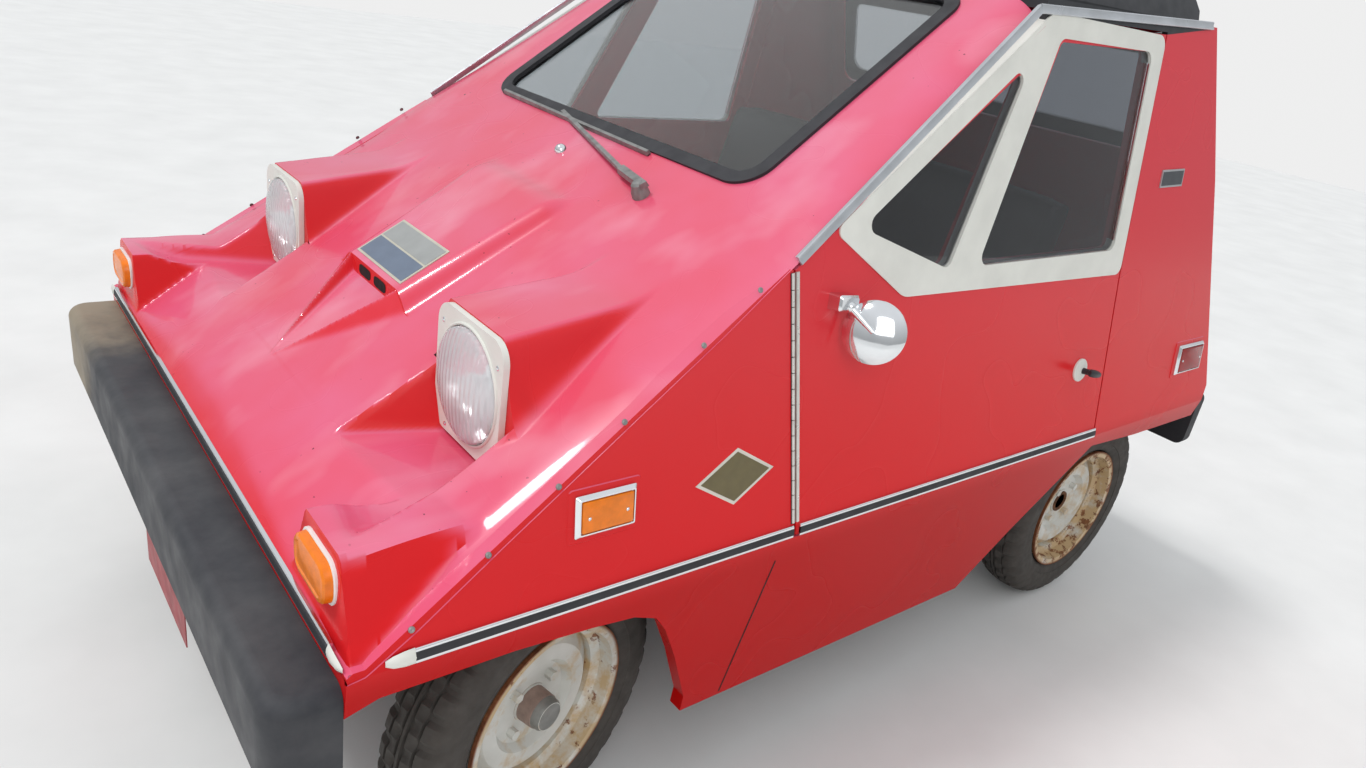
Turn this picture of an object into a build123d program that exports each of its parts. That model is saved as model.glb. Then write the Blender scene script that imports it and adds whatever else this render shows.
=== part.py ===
"""A four wheeled, two seat, wedge shaped electric microcar.

Millimetres. +X forward, +Y to the car's left, +Z up. The origin is on the floor at the middle of
the overall length and width.
"""

import os
from math import atan2, cos, radians, sin, sqrt, tan

from build123d import *

os.makedirs("parts", exist_ok=True)

# Overall sizes
LENGTH = 2413.0
WIDTH = 1397.0
HALF = WIDTH / 2
FRONT_OVERHANG = 427.5
REAR_OVERHANG = 385.5
WHEELBASE = LENGTH - FRONT_OVERHANG - REAR_OVERHANG
AXLE_F = LENGTH / 2 - FRONT_OVERHANG
AXLE_R = AXLE_F - WHEELBASE
FIT = 0.3
DOOR_GAP = 5.0

# Wheels and steering
AXLE_Z = 262.0
TYRE_R = AXLE_Z
TYRE_WIDTH = 122.0
RIM_SEAT_R = 151.0
RIM_FLANGE_R = 166.0
RIM_HALF_WIDTH = 57.0
RIM_WALL = 4.0
LUG_PLANE = 9.0
HUB_R = 34.0
SPINDLE_R = 14.0
SPINDLE_CLEARANCE = 0.05
DRUM_R = 95.0
DRUM_LIP = 3.0
DUST_CAP_R = 25.0
DUST_CAP_LENGTH = 47.0
REAR_TRACK = WIDTH - 279.0
KINGPIN_Y = HALF - 227.5
KINGPIN_OFFSET = 75.0
KINGPIN_R = 11.0
KINGPIN_BOSS_R = 20.0
KINGPIN_BOSS_HALF = 30.0
YOKE_HALF = 34.0
YOKE_ARM = 14.0
WEB_IN = 26.0
WEB_OUT = 37.0
HUB_IN = 38.0
BACKING_PLATE = 4.0
SPINDLE_END = 8.0
BEAD_HALF = 50.0
SHOULDER_HALF = 50.0
SIDEWALL_R = 208.0
WELL_R = 140.0
WELL_HALF = 16.0
DISC_LUG_R = 74.0
DISC_RISE = 14.0
DISC_RING_R = 112.0
LUG_CIRCLE_R = 54.0
STEER_AT_REST = 14.4

# Body section: widest at the belt, leaning in above and below it
BELT_Z = 566.0
TUMBLEHOME = 0.1468
TURN_UNDER = 0.129
SILL_Z = 215.0
SKIN = 12.0
SIDE_WALL = 28.0
PILLAR_DEPTH = 60.0

# Body outline seen from the side
FRONT_BUMPER_DEPTH = 92.0
REAR_BUMPER_DEPTH = 68.0
NOSE_X = LENGTH / 2 - FRONT_BUMPER_DEPTH
NOSE_TOP_Z = 584.0
NOSE_ROUND_X = NOSE_X - 112.0
NOSE_ROUND_Z = 679.0
COWL_X = AXLE_F - 391.5
COWL_Z = 1058.0
ROOF_REAR_Z = 1440.0
ROOF_FRONT_X = AXLE_F - 904.5
ROOF_FRONT_Z = ROOF_REAR_Z - 6.0
TAIL_X = REAR_BUMPER_DEPTH - LENGTH / 2
ROOF_REAR_X = TAIL_X + 369.0
WAIST_X = TAIL_X + 217.0
WAIST_Z = 1127.0
TAIL_Z = 605.0
TAIL_LOW_X = TAIL_X + 34.0
TAIL_LOW_Z = 480.0

# Crown of the hood: height of its edge and of its middle at two stations
HOOD_EDGE_FRONT_Z = NOSE_TOP_Z - 14.0
HOOD_MIDDLE_FRONT_Z = NOSE_TOP_Z + 22.0
HOOD_EDGE_REAR_Z = COWL_Z - 18.0
HOOD_EDGE_FRONT_Y = HALF - 8.5
HOOD_EDGE_REAR_Y = HALF - 66.5

# Seams seen from the side
SEAM_LOW_X = NOSE_X - 22.5
SEAM_TOP_X = COWL_X + 55.0
SEAM_TOP_Z = COWL_Z - 49.0
ROOF_SPLIT_X = ROOF_FRONT_X + 6.0
ROOF_SEAM_X = ROOF_REAR_X + 35.0
ROOF_SEAM_Z = ROOF_REAR_Z - 7.0
TAIL_SEAM_X = TAIL_X + 44.0
TAIL_SEAM_Z = 612.0

# Doors
HINGE_LOW_X = AXLE_F - 409.5
HINGE_TOP_X = SEAM_TOP_X - 14.0
DOOR_TOP_X = ROOF_FRONT_X - 20.0
DOOR_TOP_Z = ROOF_FRONT_Z - 32.0
DOOR_REAR_TOP_X = AXLE_R + 266.5
DOOR_REAR_TOP_Z = ROOF_REAR_Z - 31.0
DOOR_REAR_LOW_X = AXLE_R + 242.5
DOOR_THICK = 28.0
FRAME_WAIST_X = COWL_X - 217.0
FRAME_WAIST_Z = COWL_Z - 114.0
DOOR_WAIST_Z = FRAME_WAIST_Z - 11.0
GLASS = 5.0
HINGE_LEAF = 14.0
HINGE_SHEET = 1.6
HINGE_LOW_Z = BELT_Z + 6.0
HINGE_TOP_Z = SEAM_TOP_Z - 12.0

# Windscreen
SCREEN_HALF_LOW = HALF - 258.5
SCREEN_HALF_TOP = SCREEN_HALF_LOW - 8.0
SCREEN_MARGIN_LOW = 22.0
SCREEN_MARGIN_TOP = 24.0
SCREEN_FACE = sqrt((ROOF_FRONT_Z - COWL_Z) ** 2 + (COWL_X - ROOF_FRONT_X) ** 2)
SCREEN_CORNER = 62.0
GASKET_WIDTH = 28.0
GASKET_PROUD = 6.0
GASKET_GRIP = 9.0
GLASS_DEPTH = 3.0

# Lamps
LAMP_X = AXLE_F + 49.5
LAMP_Y = HALF - 278.5
LAMP_Z = NOSE_TOP_Z + 203.0
LAMP_R = 89.0
LAMP_CLEARANCE = 0.5
LENS_BULGE = 15.0
BEZEL_HALF = 102.0
BEZEL_CORNER = 34.0
BEZEL_THICK = 10.0
BEZEL_SEAT = 30.0
POD_TOP_Z = LAMP_Z + 104.0
POD_HALF = 87.0
POD_FOOT_HALF = 119.0
POD_REAR_X = LAMP_X - 219.0
POD_REAR_Z = LAMP_Z + 134.0
POD_REAR_HALF = 76.0
POD_REAR_FOOT_HALF = 100.0
POD_ROUND = 20.0
RECESS_Z = LAMP_Z - 110.0
RECESS_DEPTH = 110.0
RECESS_INNER_Y = LAMP_Y - 119.0
RECESS_INNER_DRAFT = 20.0
RECESS_OUTER_Y = LAMP_Y + 160.0
RECESS_OUTER_DRAFT = 150.0
RECESS_SPREAD = 1.15
TURN_Y = HALF - 125.5
TURN_Z = NOSE_TOP_Z + 66.0
TURN_R = 52.0
TURN_X = NOSE_X - 12.0
TURN_POD_HALF = 60.0
TURN_POD_FOOT = 26.0
TURN_POD_TOP_Z = TURN_Z + 50.0
TURN_POD_LENGTH = 180.0
LAMP_DEPTH = 70.0
SPINE_HALF = 112.0
SPINE_REAR_HALF = 146.0
SPINE_REAR_X = COWL_X + 70.0
SPINE_REAR_Z = COWL_Z - 40.0
SPINE_FRONT_X = LAMP_X - 14.0
SPINE_FRONT_Z = LAMP_Z + 35.0
SPINE_DEPTH = 40.0
LIP_Y = 103.0
LIP_FOOT_Y = 80.0
LIP_POINT_X = SPINE_FRONT_X + 178.5
LIP_POINT_Z = SPINE_FRONT_Z - 140.0
SCOOP_Y = 40.0
SCOOP_WIDTH = 54.0
SCOOP_HEIGHT = 18.0
SCOOP_DEPTH = 30.0
SIDE_MARKERS = (
    # middle x, middle z, length, height
    (AXLE_F - 23.0, BELT_Z + 136.0, 100.0, 62.0),
    (AXLE_R - 160.0, BELT_Z + 133.0, 130.0, 76.0),
)
TAIL_LAMP_R = 50.0
TAIL_LAMP_Z = TAIL_Z + 135.0
TAIL_LAMP_INNER_Y = HALF - 298.5
TAIL_LAMP_OUTER_Y = HALF - 158.5

# Hatch, measured down the upper tail face from the roof's rear edge
HATCH_TOP = 40.0
HATCH_MARGIN_LOW = 30.0
TAIL_FACE = sqrt((ROOF_REAR_X - WAIST_X) ** 2 + (ROOF_REAR_Z - WAIST_Z) ** 2)
HATCH_HALF_TOP = HALF - 193.5
HATCH_HALF_LOW = HALF - 153.5
HATCH_CORNER = 30.0
HATCH_BORDER = 38.0
HATCH_HINGE_Y = HATCH_HALF_TOP - 175.0
HATCH_HINGE_HALF = 45.0

# Roof
ROOF_RAISE_FRONT_Z = ROOF_REAR_Z + 22.0
ROOF_RAISE_REAR_Z = ROOF_REAR_Z + 52.0
ROOF_RAISE_HALF = HALF - 153.5

# Fittings
PANE_CORNER = 14.0
MIRROR_X = AXLE_F - 472.0
MIRROR_Z = FRAME_WAIST_Z + 4.0
MIRROR_FOOT = 14.0
MIRROR_DISC_Y = HALF + 7.5
MIRROR_DISC_Z = MIRROR_Z - 54.0
MIRROR_R = 51.0
HANDLE_X = DOOR_REAR_LOW_X + 116.0
HANDLE_Z = BELT_Z + 170.0
WIPER_X = COWL_X + 64.0
WIPER_Y = HALF - 436.5
WIPER_Z = COWL_Z - 32.0
WIPER_TIP_X = COWL_X - 22.0
WIPER_TIP_Y = -147.0
BLADE_LONG = 235.0
BLADE_SHORT = 320.0
BLADE_R = 5.5
WIPER_TIP_Z = COWL_Z + 34.0

# Bumpers
FRONT_BUMPER_Z = (400.0, 548.0)
REAR_BUMPER_Z = (424.0, 572.0)
BUMPER_HALF = HALF - 8.5
BUMPER_CORNER = 40.0
BUMPER_ROUND = 22.0
FRONT_PLATE_X = NOSE_X + 40.0
FRONT_PLATE_Y = -120.0
PLATE_HOLE_SPACING = 178.0
PLATE_LENGTH = 305.0
PLATE_HEIGHT = 152.0
PLATE_THICK = 2.0
PLATE_LOW_Z = 140.0

# Chassis
RAIL_Y = HALF - 468.5
RAIL_SIZE = 50.0
FLOOR_Z = 285.0
RAIL_HIGH_Z = 375.0
ARM_SIZE = 40.0
ARM_TOP_Z = 490.0
TOW_EYE_R = 12.0
TOW_EYE_OUT = 30.0
TOW_EYE_HALF = 22.0
TOW_EYE_THICK = 10.0
SPRING_Y = RAIL_Y + 65.0
SPRING_WIDTH = 44.0
SPRING_HALF = 260.0
SPRING_THICK = 14.0
SPRING_EYE = 10.0
SPRING_PAD = 34.0
HANGER_HALF = 14.0
AXLE_TUBE_R = 26.0
SPRING_END_Z = 310.0
FIREWALL_X = AXLE_F - 324.0
FLOOR_THICK = 6.0
FIREWALL_TOP_Z = COWL_Z - 108.0
DECK_Z = 545.0
DIFFERENTIAL_HALF = 75.0
MOTOR_R = 82.0
MOTOR_END_X = AXLE_R + 345.0
RISER_LOW_X = AXLE_R + 475.0
RISER_HIGH_X = AXLE_R + 222.0
BATTERY_HALF = HALF - 248.5
BATTERY_REAR_X = AXLE_R + 500.0
BATTERY_FRONT_X = AXLE_R + 860.0
BATTERY_TOP_Z = 520.0

# Inside
DASH_Z = COWL_Z - 278.0
DASH_HALF = HALF - 98.5
SEAT_X = AXLE_R + 968.5
SEAT_DEPTH = 470.0
SEAT_Z = BATTERY_TOP_Z + FIT
SEAT_THICK = 90.0
SEAT_HALF = HALF - 138.5
SEAT_LEAN = 110.0
SEAT_TOP_Z = 1060.0
STEER_WHEEL_X = COWL_X - 215.0
STEER_WHEEL_Y = HALF - 408.5
STEER_WHEEL_Z = COWL_Z - 178.0
STEER_WHEEL_R = 180.0
RIM_GRIP_R = 12.0
COLUMN_ANGLE = 28.0
WHEEL_HUB_DEPTH = 26.0


def half_width(z):
    """Half the body's width at height z."""
    slope = TUMBLEHOME if z > BELT_Z else TURN_UNDER
    return WIDTH / 2 - slope * abs(z - BELT_Z)


def prism_y(points, y_low, y_high):
    """The solid over a side view outline, from one Y to another."""
    with BuildPart() as prism:
        with BuildSketch(Plane.XZ.offset(-y_high)):
            with BuildLine():
                Polyline(*points, close=True)
            make_face()
        extrude(amount=y_high - y_low)
    return prism.part


def prism_x(points, x_low, x_high):
    """The solid over a front view outline, from one X to another."""
    with BuildPart() as prism:
        with BuildSketch(Plane.YZ.offset(x_low)):
            with BuildLine():
                Polyline(*points, close=True)
            make_face()
        extrude(amount=x_high - x_low)
    return prism.part


def block(x_range, y_range, z_range):
    """A plain block between two corners."""
    rear, front = x_range
    low, high = z_range
    return prism_y([(rear, low), (front, low), (front, high), (rear, high)], *y_range)


def cylinder(start, end, radius):
    """A round bar from one point to another."""
    line = Vector(*end) - Vector(*start)
    with BuildPart() as bar:
        with BuildSketch(Plane(origin=start, z_dir=line)):
            Circle(radius)
        extrude(amount=line.length)
    return bar.part


def section_points(inset, z_low, z_high):
    """The body's front view outline, drawn in by inset."""
    low = half_width(z_low) - inset
    belt = WIDTH / 2 - inset
    high = half_width(z_high) - inset
    return [(-low, z_low), (low, z_low), (belt, BELT_Z), (high, z_high), (-high, z_high), (-belt, BELT_Z)]


def hood_relief(drop):
    """What lies above the hood's crowned surface, lowered by drop."""
    stations = (
        # x, half width, edge height, middle height
        (NOSE_X + 60.0, HOOD_EDGE_FRONT_Y, HOOD_EDGE_FRONT_Z - 38.0, HOOD_MIDDLE_FRONT_Z - 38.0),
        (COWL_X + 6.0, HOOD_EDGE_REAR_Y, HOOD_EDGE_REAR_Z, COWL_Z - 2.0),
    )
    top = ROOF_REAR_Z + 200.0
    out = WIDTH / 2 + 60.0
    with BuildPart() as relief:
        for x, half, edge, middle in stations:
            with BuildSketch(Plane.YZ.offset(x)):
                with BuildLine():
                    ThreePointArc((-half, edge - drop), (0, middle - drop), (half, edge - drop))
                    Polyline(
                        (half, edge - drop),
                        (out, edge - drop),
                        (out, top),
                        (-out, top),
                        (-out, edge - drop),
                        (-half, edge - drop),
                    )
                make_face()
        loft(ruled=True)
    return relief.part


def body_solid(inset, side_inset, low_z):
    """The whole body as one solid, drawn in by inset, open below when low_z is under the sills."""
    with BuildPart() as body:
        with BuildSketch(Plane.XZ.offset(-WIDTH)):
            with BuildLine():
                Polyline((NOSE_X, NOSE_TOP_Z), (NOSE_X, low_z), (TAIL_LOW_X, low_z), (TAIL_LOW_X, TAIL_LOW_Z))
                Polyline(
                    (TAIL_LOW_X, TAIL_LOW_Z),
                    (TAIL_X, TAIL_Z),
                    (WAIST_X, WAIST_Z),
                    (ROOF_REAR_X, ROOF_REAR_Z),
                    (ROOF_FRONT_X, ROOF_FRONT_Z),
                    (COWL_X, COWL_Z),
                    (NOSE_ROUND_X, NOSE_ROUND_Z),
                )
                ThreePointArc((NOSE_ROUND_X, NOSE_ROUND_Z), (NOSE_X - 47.0, 637.0), (NOSE_X, NOSE_TOP_Z))
            make_face()
            if inset:
                offset(amount=-inset, kind=Kind.INTERSECTION)
        extrude(amount=2 * WIDTH)
        section = section_points(side_inset, low_z, ROOF_REAR_Z + 60.0)
        add(prism_x(section, -LENGTH, LENGTH), mode=Mode.INTERSECT)
        add(hood_relief(inset * 1.2), mode=Mode.SUBTRACT)
    return body.part


OUTER = body_solid(0.0, 0.0, SILL_Z)
SHELL = OUTER - body_solid(SKIN, SKIN, SILL_Z - 100.0)
FAR = LENGTH
HIGH = ROOF_REAR_Z + 100.0

# Side view outlines of the panels
FRONT_OUTLINE = [
    (FAR, BELT_Z + 10.0),
    (SEAM_LOW_X, BELT_Z + 10.0),
    (SEAM_TOP_X, SEAM_TOP_Z),
    (HINGE_TOP_X, SEAM_TOP_Z - 2.0),
    (ROOF_SPLIT_X, DOOR_TOP_Z - 25.0),
    (ROOF_SPLIT_X, HIGH),
    (FAR, HIGH),
]
FRONT_INNER_OUTLINE = [
    (FAR, BELT_Z + 10.0),
    (SEAM_LOW_X, BELT_Z + 10.0),
    (SEAM_TOP_X, SEAM_TOP_Z - PILLAR_DEPTH),
    (ROOF_SPLIT_X, DOOR_TOP_Z - PILLAR_DEPTH),
    (ROOF_SPLIT_X, HIGH),
    (FAR, HIGH),
]
ROOF_OUTLINE = [
    (ROOF_SPLIT_X, DOOR_TOP_Z - PILLAR_DEPTH),
    (DOOR_REAR_TOP_X, DOOR_REAR_TOP_Z),
    (ROOF_SEAM_X, ROOF_SEAM_Z),
    (ROOF_SEAM_X - 30.0, HIGH),
    (ROOF_SPLIT_X, HIGH),
]
TAIL_OUTLINE = [
    (ROOF_SEAM_X, ROOF_SEAM_Z),
    (WAIST_X + 29.0, WAIST_Z - 45.0),
    (TAIL_SEAM_X, TAIL_SEAM_Z),
    (TAIL_SEAM_X, 0.0),
    (-FAR, 0.0),
    (-FAR, HIGH),
    (ROOF_SEAM_X - 30.0, HIGH),
]
DOOR_OUTLINE = [
    (HINGE_LOW_X, BELT_Z),
    (HINGE_TOP_X, SEAM_TOP_Z - 2.0),
    (DOOR_TOP_X, DOOR_TOP_Z),
    (DOOR_REAR_TOP_X, DOOR_REAR_TOP_Z),
    (DOOR_REAR_TOP_X, DOOR_WAIST_Z),
    (DOOR_REAR_LOW_X, BELT_Z),
]
FENDER_REAR_X = HINGE_LOW_X + 28.0
FENDER_LOW_X = HINGE_LOW_X + 57.0
FRONT_ARCH = [
    (FAR, 0.0),
    (FAR, 504.0),
    (NOSE_X, 504.0),
    (NOSE_X - 43.0, 520.0),
    (NOSE_X - 230.0, 520.0),
    (AXLE_F - 23.5, 511.0),
    (AXLE_F - 97.5, 502.0),
    (AXLE_F - 143.5, 482.0),
    (AXLE_F - 170.5, 447.0),
    (AXLE_F - 210.5, 371.0),
    (AXLE_F - 263.5, 252.0),
    (AXLE_F - 280.0, 0.0),
]
REAR_ARCH = [
    (AXLE_R + 545.0, 0.0),
    (AXLE_R + 543.0, SILL_Z),
    (AXLE_R + 421.0, 343.0),
    (AXLE_R + 218.0, 534.0),
    (AXLE_R + 12.0, 523.0),
    (-FAR, 512.0),
    (-FAR, 0.0),
]
FENDER_OUTLINE = [
    (SEAM_LOW_X, BELT_Z + 10.0),
    (SEAM_TOP_X, SEAM_TOP_Z),
    (HINGE_TOP_X, SEAM_TOP_Z - 2.0),
    (HINGE_LOW_X, BELT_Z - 5.0),
    (FENDER_REAR_X, 519.0),
    (FENDER_LOW_X, 224.0),
    (FENDER_LOW_X, 0.0),
    (NOSE_X - 34.0, 0.0),
    (NOSE_X - 34.0, BELT_Z + 10.0),
]
SILL_OUTLINE = [
    (HINGE_LOW_X, BELT_Z - 5.0),
    (FENDER_REAR_X, 519.0),
    (FENDER_LOW_X, 224.0),
    (FENDER_LOW_X, 0.0),
    (DOOR_REAR_LOW_X, 0.0),
    (DOOR_REAR_LOW_X, BELT_Z - 5.0),
]
QUARTER_OUTLINE = [
    (DOOR_REAR_TOP_X, DOOR_REAR_TOP_Z),
    (DOOR_REAR_TOP_X, DOOR_WAIST_Z),
    (DOOR_REAR_LOW_X, BELT_Z - 5.0),
    (DOOR_REAR_LOW_X, 0.0),
    (TAIL_SEAM_X, 0.0),
    (TAIL_SEAM_X, TAIL_SEAM_Z),
    (WAIST_X + 29.0, WAIST_Z - 45.0),
    (ROOF_SEAM_X, ROOF_SEAM_Z),
]
NOSE_OUTLINE = [
    (FAR, BELT_Z + 10.0),
    (NOSE_X - 34.0, BELT_Z + 10.0),
    (NOSE_X - 34.0, 0.0),
    (FAR, 0.0),
]


def door_void():
    """The space that a door and the gap round it take from the panels beside it."""
    with BuildPart() as void:
        with BuildSketch(Plane.XZ.offset(-WIDTH)):
            with BuildLine():
                Polyline(*DOOR_OUTLINE, close=True)
            make_face()
            offset(amount=DOOR_GAP, kind=Kind.INTERSECTION)
        extrude(amount=2 * WIDTH)
    return void.part


DOOR_VOID = door_void()

# Windscreen plane: its own X runs to the left, its own Y up the glass
SCREEN_RISE = atan2(ROOF_FRONT_Z - COWL_Z, COWL_X - ROOF_FRONT_X)
SCREEN_PLANE = Plane(
    origin=(COWL_X, 0, COWL_Z),
    x_dir=(0, 1, 0),
    z_dir=(sin(SCREEN_RISE), 0, cos(SCREEN_RISE)),
)


def screen_slab(inset, below, above):
    """The windscreen's outline as a slab about the glass plane."""
    with BuildPart() as slab:
        with BuildSketch(SCREEN_PLANE.offset(-below)):
            low = SCREEN_HALF_LOW - inset
            high = SCREEN_HALF_TOP - inset
            bottom = SCREEN_MARGIN_LOW + inset
            top = SCREEN_FACE - SCREEN_MARGIN_TOP - inset
            with BuildLine():
                Polyline((-low, bottom), (low, bottom), (high, top), (-high, top), close=True)
            made = make_face()
            fillet(made.vertices(), SCREEN_CORNER - inset)
        extrude(amount=below + above)
    return slab.part


# Headlamp pods, turn signal pods and the spine that rise from the hood
def lamp_pod(side):
    """A drafted wedge behind one headlamp, rounded along its top."""
    sections = (
        # x, top, half width there, half width at its foot
        (LAMP_X, POD_TOP_Z, POD_HALF, POD_FOOT_HALF),
        (POD_REAR_X, POD_REAR_Z, POD_REAR_HALF, POD_REAR_FOOT_HALF),
    )
    with BuildPart() as pod:
        for x, top, half, foot in sections:
            with BuildSketch(Plane.YZ.offset(x)):
                with BuildLine():
                    Polyline(
                        (side * LAMP_Y - half, top),
                        (side * LAMP_Y + half, top),
                        (side * LAMP_Y + foot, top - POD_TOP_Z + LAMP_Z),
                        (side * LAMP_Y + BEZEL_HALF, RECESS_Z),
                        (side * LAMP_Y - BEZEL_HALF, RECESS_Z),
                        (side * LAMP_Y - foot, top - POD_TOP_Z + LAMP_Z),
                        close=True,
                    )
                make_face()
        loft(ruled=True)
        along = pod.edges().filter_by(lambda edge: abs(edge.tangent_at(0.5).X) > 0.8).sort_by(Axis.Z)[-2:]
        fillet(along, POD_ROUND)
    return pod.part


def recess(side, wall):
    """The hollow in front of one headlamp, or with a wall its outside."""
    levels = (
        # height, inner side, outer side
        (RECESS_Z - wall, RECESS_INNER_Y + RECESS_INNER_DRAFT, RECESS_OUTER_Y - RECESS_OUTER_DRAFT),
        (RECESS_Z + RECESS_DEPTH, RECESS_INNER_Y, RECESS_OUTER_Y),
    )
    with BuildPart() as hollow:
        for z, inner, outer in levels:
            with BuildSketch(Plane.XY.offset(z)):
                with BuildLine():
                    Polyline(
                        (LAMP_X - wall, side * (inner - wall)),
                        (LAMP_X + (outer - inner + wall) * RECESS_SPREAD, side * (inner - wall)),
                        (LAMP_X - wall, side * (outer + 2 * wall)),
                        close=True,
                    )
                make_face()
        loft(ruled=True)
        add(OUTER, mode=Mode.INTERSECT)
    return hollow.part


def bezel_seat(side, wall):
    """The space that one headlamp bezel takes from the hood, or with a wall its outside."""
    half = BEZEL_HALF + FIT + wall
    with BuildPart() as seat_space:
        with BuildSketch(Plane.YZ.offset(LAMP_X)):
            with Locations((side * LAMP_Y, LAMP_Z)):
                RectangleRounded(2 * half, 2 * half, BEZEL_CORNER + wall)
        extrude(amount=BEZEL_SEAT + wall)
        add(OUTER, mode=Mode.INTERSECT)
    return seat_space.part


def turn_pod(side):
    """The small drafted wedge that carries one turn signal."""
    middle = side * TURN_Y
    foot = TURN_POD_HALF + TURN_POD_FOOT
    points = [
        (middle - TURN_POD_HALF, TURN_POD_TOP_Z),
        (middle + TURN_POD_HALF, TURN_POD_TOP_Z),
        (middle + foot, TURN_Z - TURN_R),
        (middle - foot, TURN_Z - TURN_R),
    ]
    return prism_x(points, TURN_X - TURN_POD_LENGTH, TURN_X)


def ridge(sections):
    """A solid between two front view outlines, each with its x."""
    with BuildPart() as made:
        for x, points in sections:
            with BuildSketch(Plane.YZ.offset(x)):
                with BuildLine():
                    Polyline(*points, close=True)
                make_face()
        loft(ruled=True)
    return made.part


def spine():
    """The raised spine down the middle of the hood, widening to the rear."""
    sections = []
    for x, half, top in (
        (SPINE_FRONT_X, SPINE_HALF, SPINE_FRONT_Z),
        (SPINE_REAR_X, SPINE_REAR_HALF, SPINE_REAR_Z),
    ):
        foot = half + SPINE_DEPTH
        low = top - SPINE_DEPTH
        sections.append((x, [(-half, top), (half, top), (foot, low), (-foot, low)]))
    return ridge(sections)


def lip(side):
    """One of the two ridges that run from the spine's front corners down to a point."""
    low = SPINE_FRONT_Z - SPINE_DEPTH
    foot = SPINE_HALF + SPINE_DEPTH
    front = [(side * LIP_FOOT_Y, low), (side * LIP_Y, SPINE_FRONT_Z), (side * foot, low)]
    point = [(0.0, LIP_POINT_Z - 8.0), (side * 4.0, LIP_POINT_Z), (side * 12.0, LIP_POINT_Z - 8.0)]
    return ridge([(SPINE_FRONT_X, front), (LIP_POINT_X, point)])


def scoop(side):
    """One air opening in the front face of the spine."""
    with BuildPart() as opening:
        with BuildSketch(Plane.YZ.offset(SPINE_FRONT_X - SCOOP_DEPTH)):
            with Locations((side * SCOOP_Y, SPINE_FRONT_Z - SCOOP_HEIGHT)):
                RectangleRounded(SCOOP_WIDTH, SCOOP_HEIGHT, SCOOP_HEIGHT / 3)
        extrude(amount=2 * SCOOP_DEPTH)
    return opening.part


SIDES = (("left", 1), ("right", -1))

INSIDE_WALLS = prism_x(section_points(SIDE_WALL + FIT, SILL_Z, HIGH), -FAR, FAR)
FRONT_REGION = prism_y(FRONT_OUTLINE, -FAR, FAR) + (prism_y(FRONT_INNER_OUTLINE, -FAR, FAR) & INSIDE_WALLS)

with BuildPart() as front_panel:
    add(SHELL)
    add(FRONT_REGION, mode=Mode.INTERSECT)
    for _, side in SIDES:
        add(recess(side, SKIN))
        add(bezel_seat(side, SKIN))
        add(lamp_pod(side))
        add(turn_pod(side))
        add(recess(side, 0.0), mode=Mode.SUBTRACT)
        add(bezel_seat(side, 0.0), mode=Mode.SUBTRACT)
        socket = (LAMP_X - LAMP_DEPTH, side * LAMP_Y, LAMP_Z)
        lens_front = (LAMP_X + BEZEL_SEAT, side * LAMP_Y, LAMP_Z)
        add(cylinder(socket, lens_front, LAMP_R + FIT), mode=Mode.SUBTRACT)
    add(spine())
    for _, side in SIDES:
        add(lip(side))
        add(scoop(side), mode=Mode.SUBTRACT)
    add(DOOR_VOID, mode=Mode.SUBTRACT)
    add(screen_slab(0.0, 60.0, 60.0), mode=Mode.SUBTRACT)
front_panel.part.label = "front_panel"
export_step(front_panel.part, "parts/front_panel.step")

with BuildPart() as windscreen:
    add(screen_slab(GASKET_WIDTH - GASKET_GRIP, GLASS_DEPTH + GLASS, -GLASS_DEPTH))
windscreen.part.label = "windscreen"
export_step(windscreen.part, "parts/windscreen.step")

with BuildPart() as windscreen_gasket:
    add(screen_slab(FIT, SKIN, GASKET_PROUD))
    add(screen_slab(GASKET_WIDTH, SKIN + 1.0, GASKET_PROUD + 1.0), mode=Mode.SUBTRACT)
    add(
        screen_slab(GASKET_WIDTH - GASKET_GRIP - FIT, GLASS_DEPTH + GLASS + FIT, FIT - GLASS_DEPTH),
        mode=Mode.SUBTRACT,
    )
windscreen_gasket.part.label = "windscreen_gasket"
export_step(windscreen_gasket.part, "parts/windscreen_gasket.step")

# Body panels beside and behind the front moulding
with BuildPart() as nose_panel:
    add(SHELL)
    add(prism_y(NOSE_OUTLINE, -FAR, FAR), mode=Mode.INTERSECT)
    add(prism_y(FRONT_ARCH, -FAR, FAR), mode=Mode.SUBTRACT)
nose_panel.part.label = "nose_panel"
export_step(nose_panel.part, "parts/nose_panel.step")


def wall_slab(side, thick):
    """One side wall of the body as a slab of one thickness, endless fore and aft."""
    low = half_width(0.0)
    high = half_width(HIGH)
    points = [
        (side * low, 0.0),
        (side * WIDTH / 2, BELT_Z),
        (side * high, HIGH),
        (side * (high - thick), HIGH),
        (side * (WIDTH / 2 - thick), BELT_Z),
        (side * (low - thick), 0.0),
    ]
    return prism_x(points, -FAR, FAR)


def side_panel(side, outline, cuts):
    """The stretch of one side wall inside an outline, less the cuts."""
    with BuildPart() as panel:
        add(wall_slab(side, SIDE_WALL))
        add(OUTER, mode=Mode.INTERSECT)
        add(prism_y(outline, -FAR, FAR), mode=Mode.INTERSECT)
        for cut in cuts:
            add(cut, mode=Mode.SUBTRACT)
    return panel.part


FRONT_CUT = prism_y(FRONT_ARCH, -FAR, FAR)
REAR_CUT = prism_y(REAR_ARCH, -FAR, FAR)

with BuildPart() as fenders:
    for _, side in SIDES:
        add(side_panel(side, FENDER_OUTLINE, [FRONT_CUT, DOOR_VOID]))
fenders.part.label = "fenders"
export_step(fenders.part, "parts/fenders.step")

with BuildPart() as sills:
    for _, side in SIDES:
        add(side_panel(side, SILL_OUTLINE, [REAR_CUT, DOOR_VOID]))
sills.part.label = "sills"
export_step(sills.part, "parts/sills.step")

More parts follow.
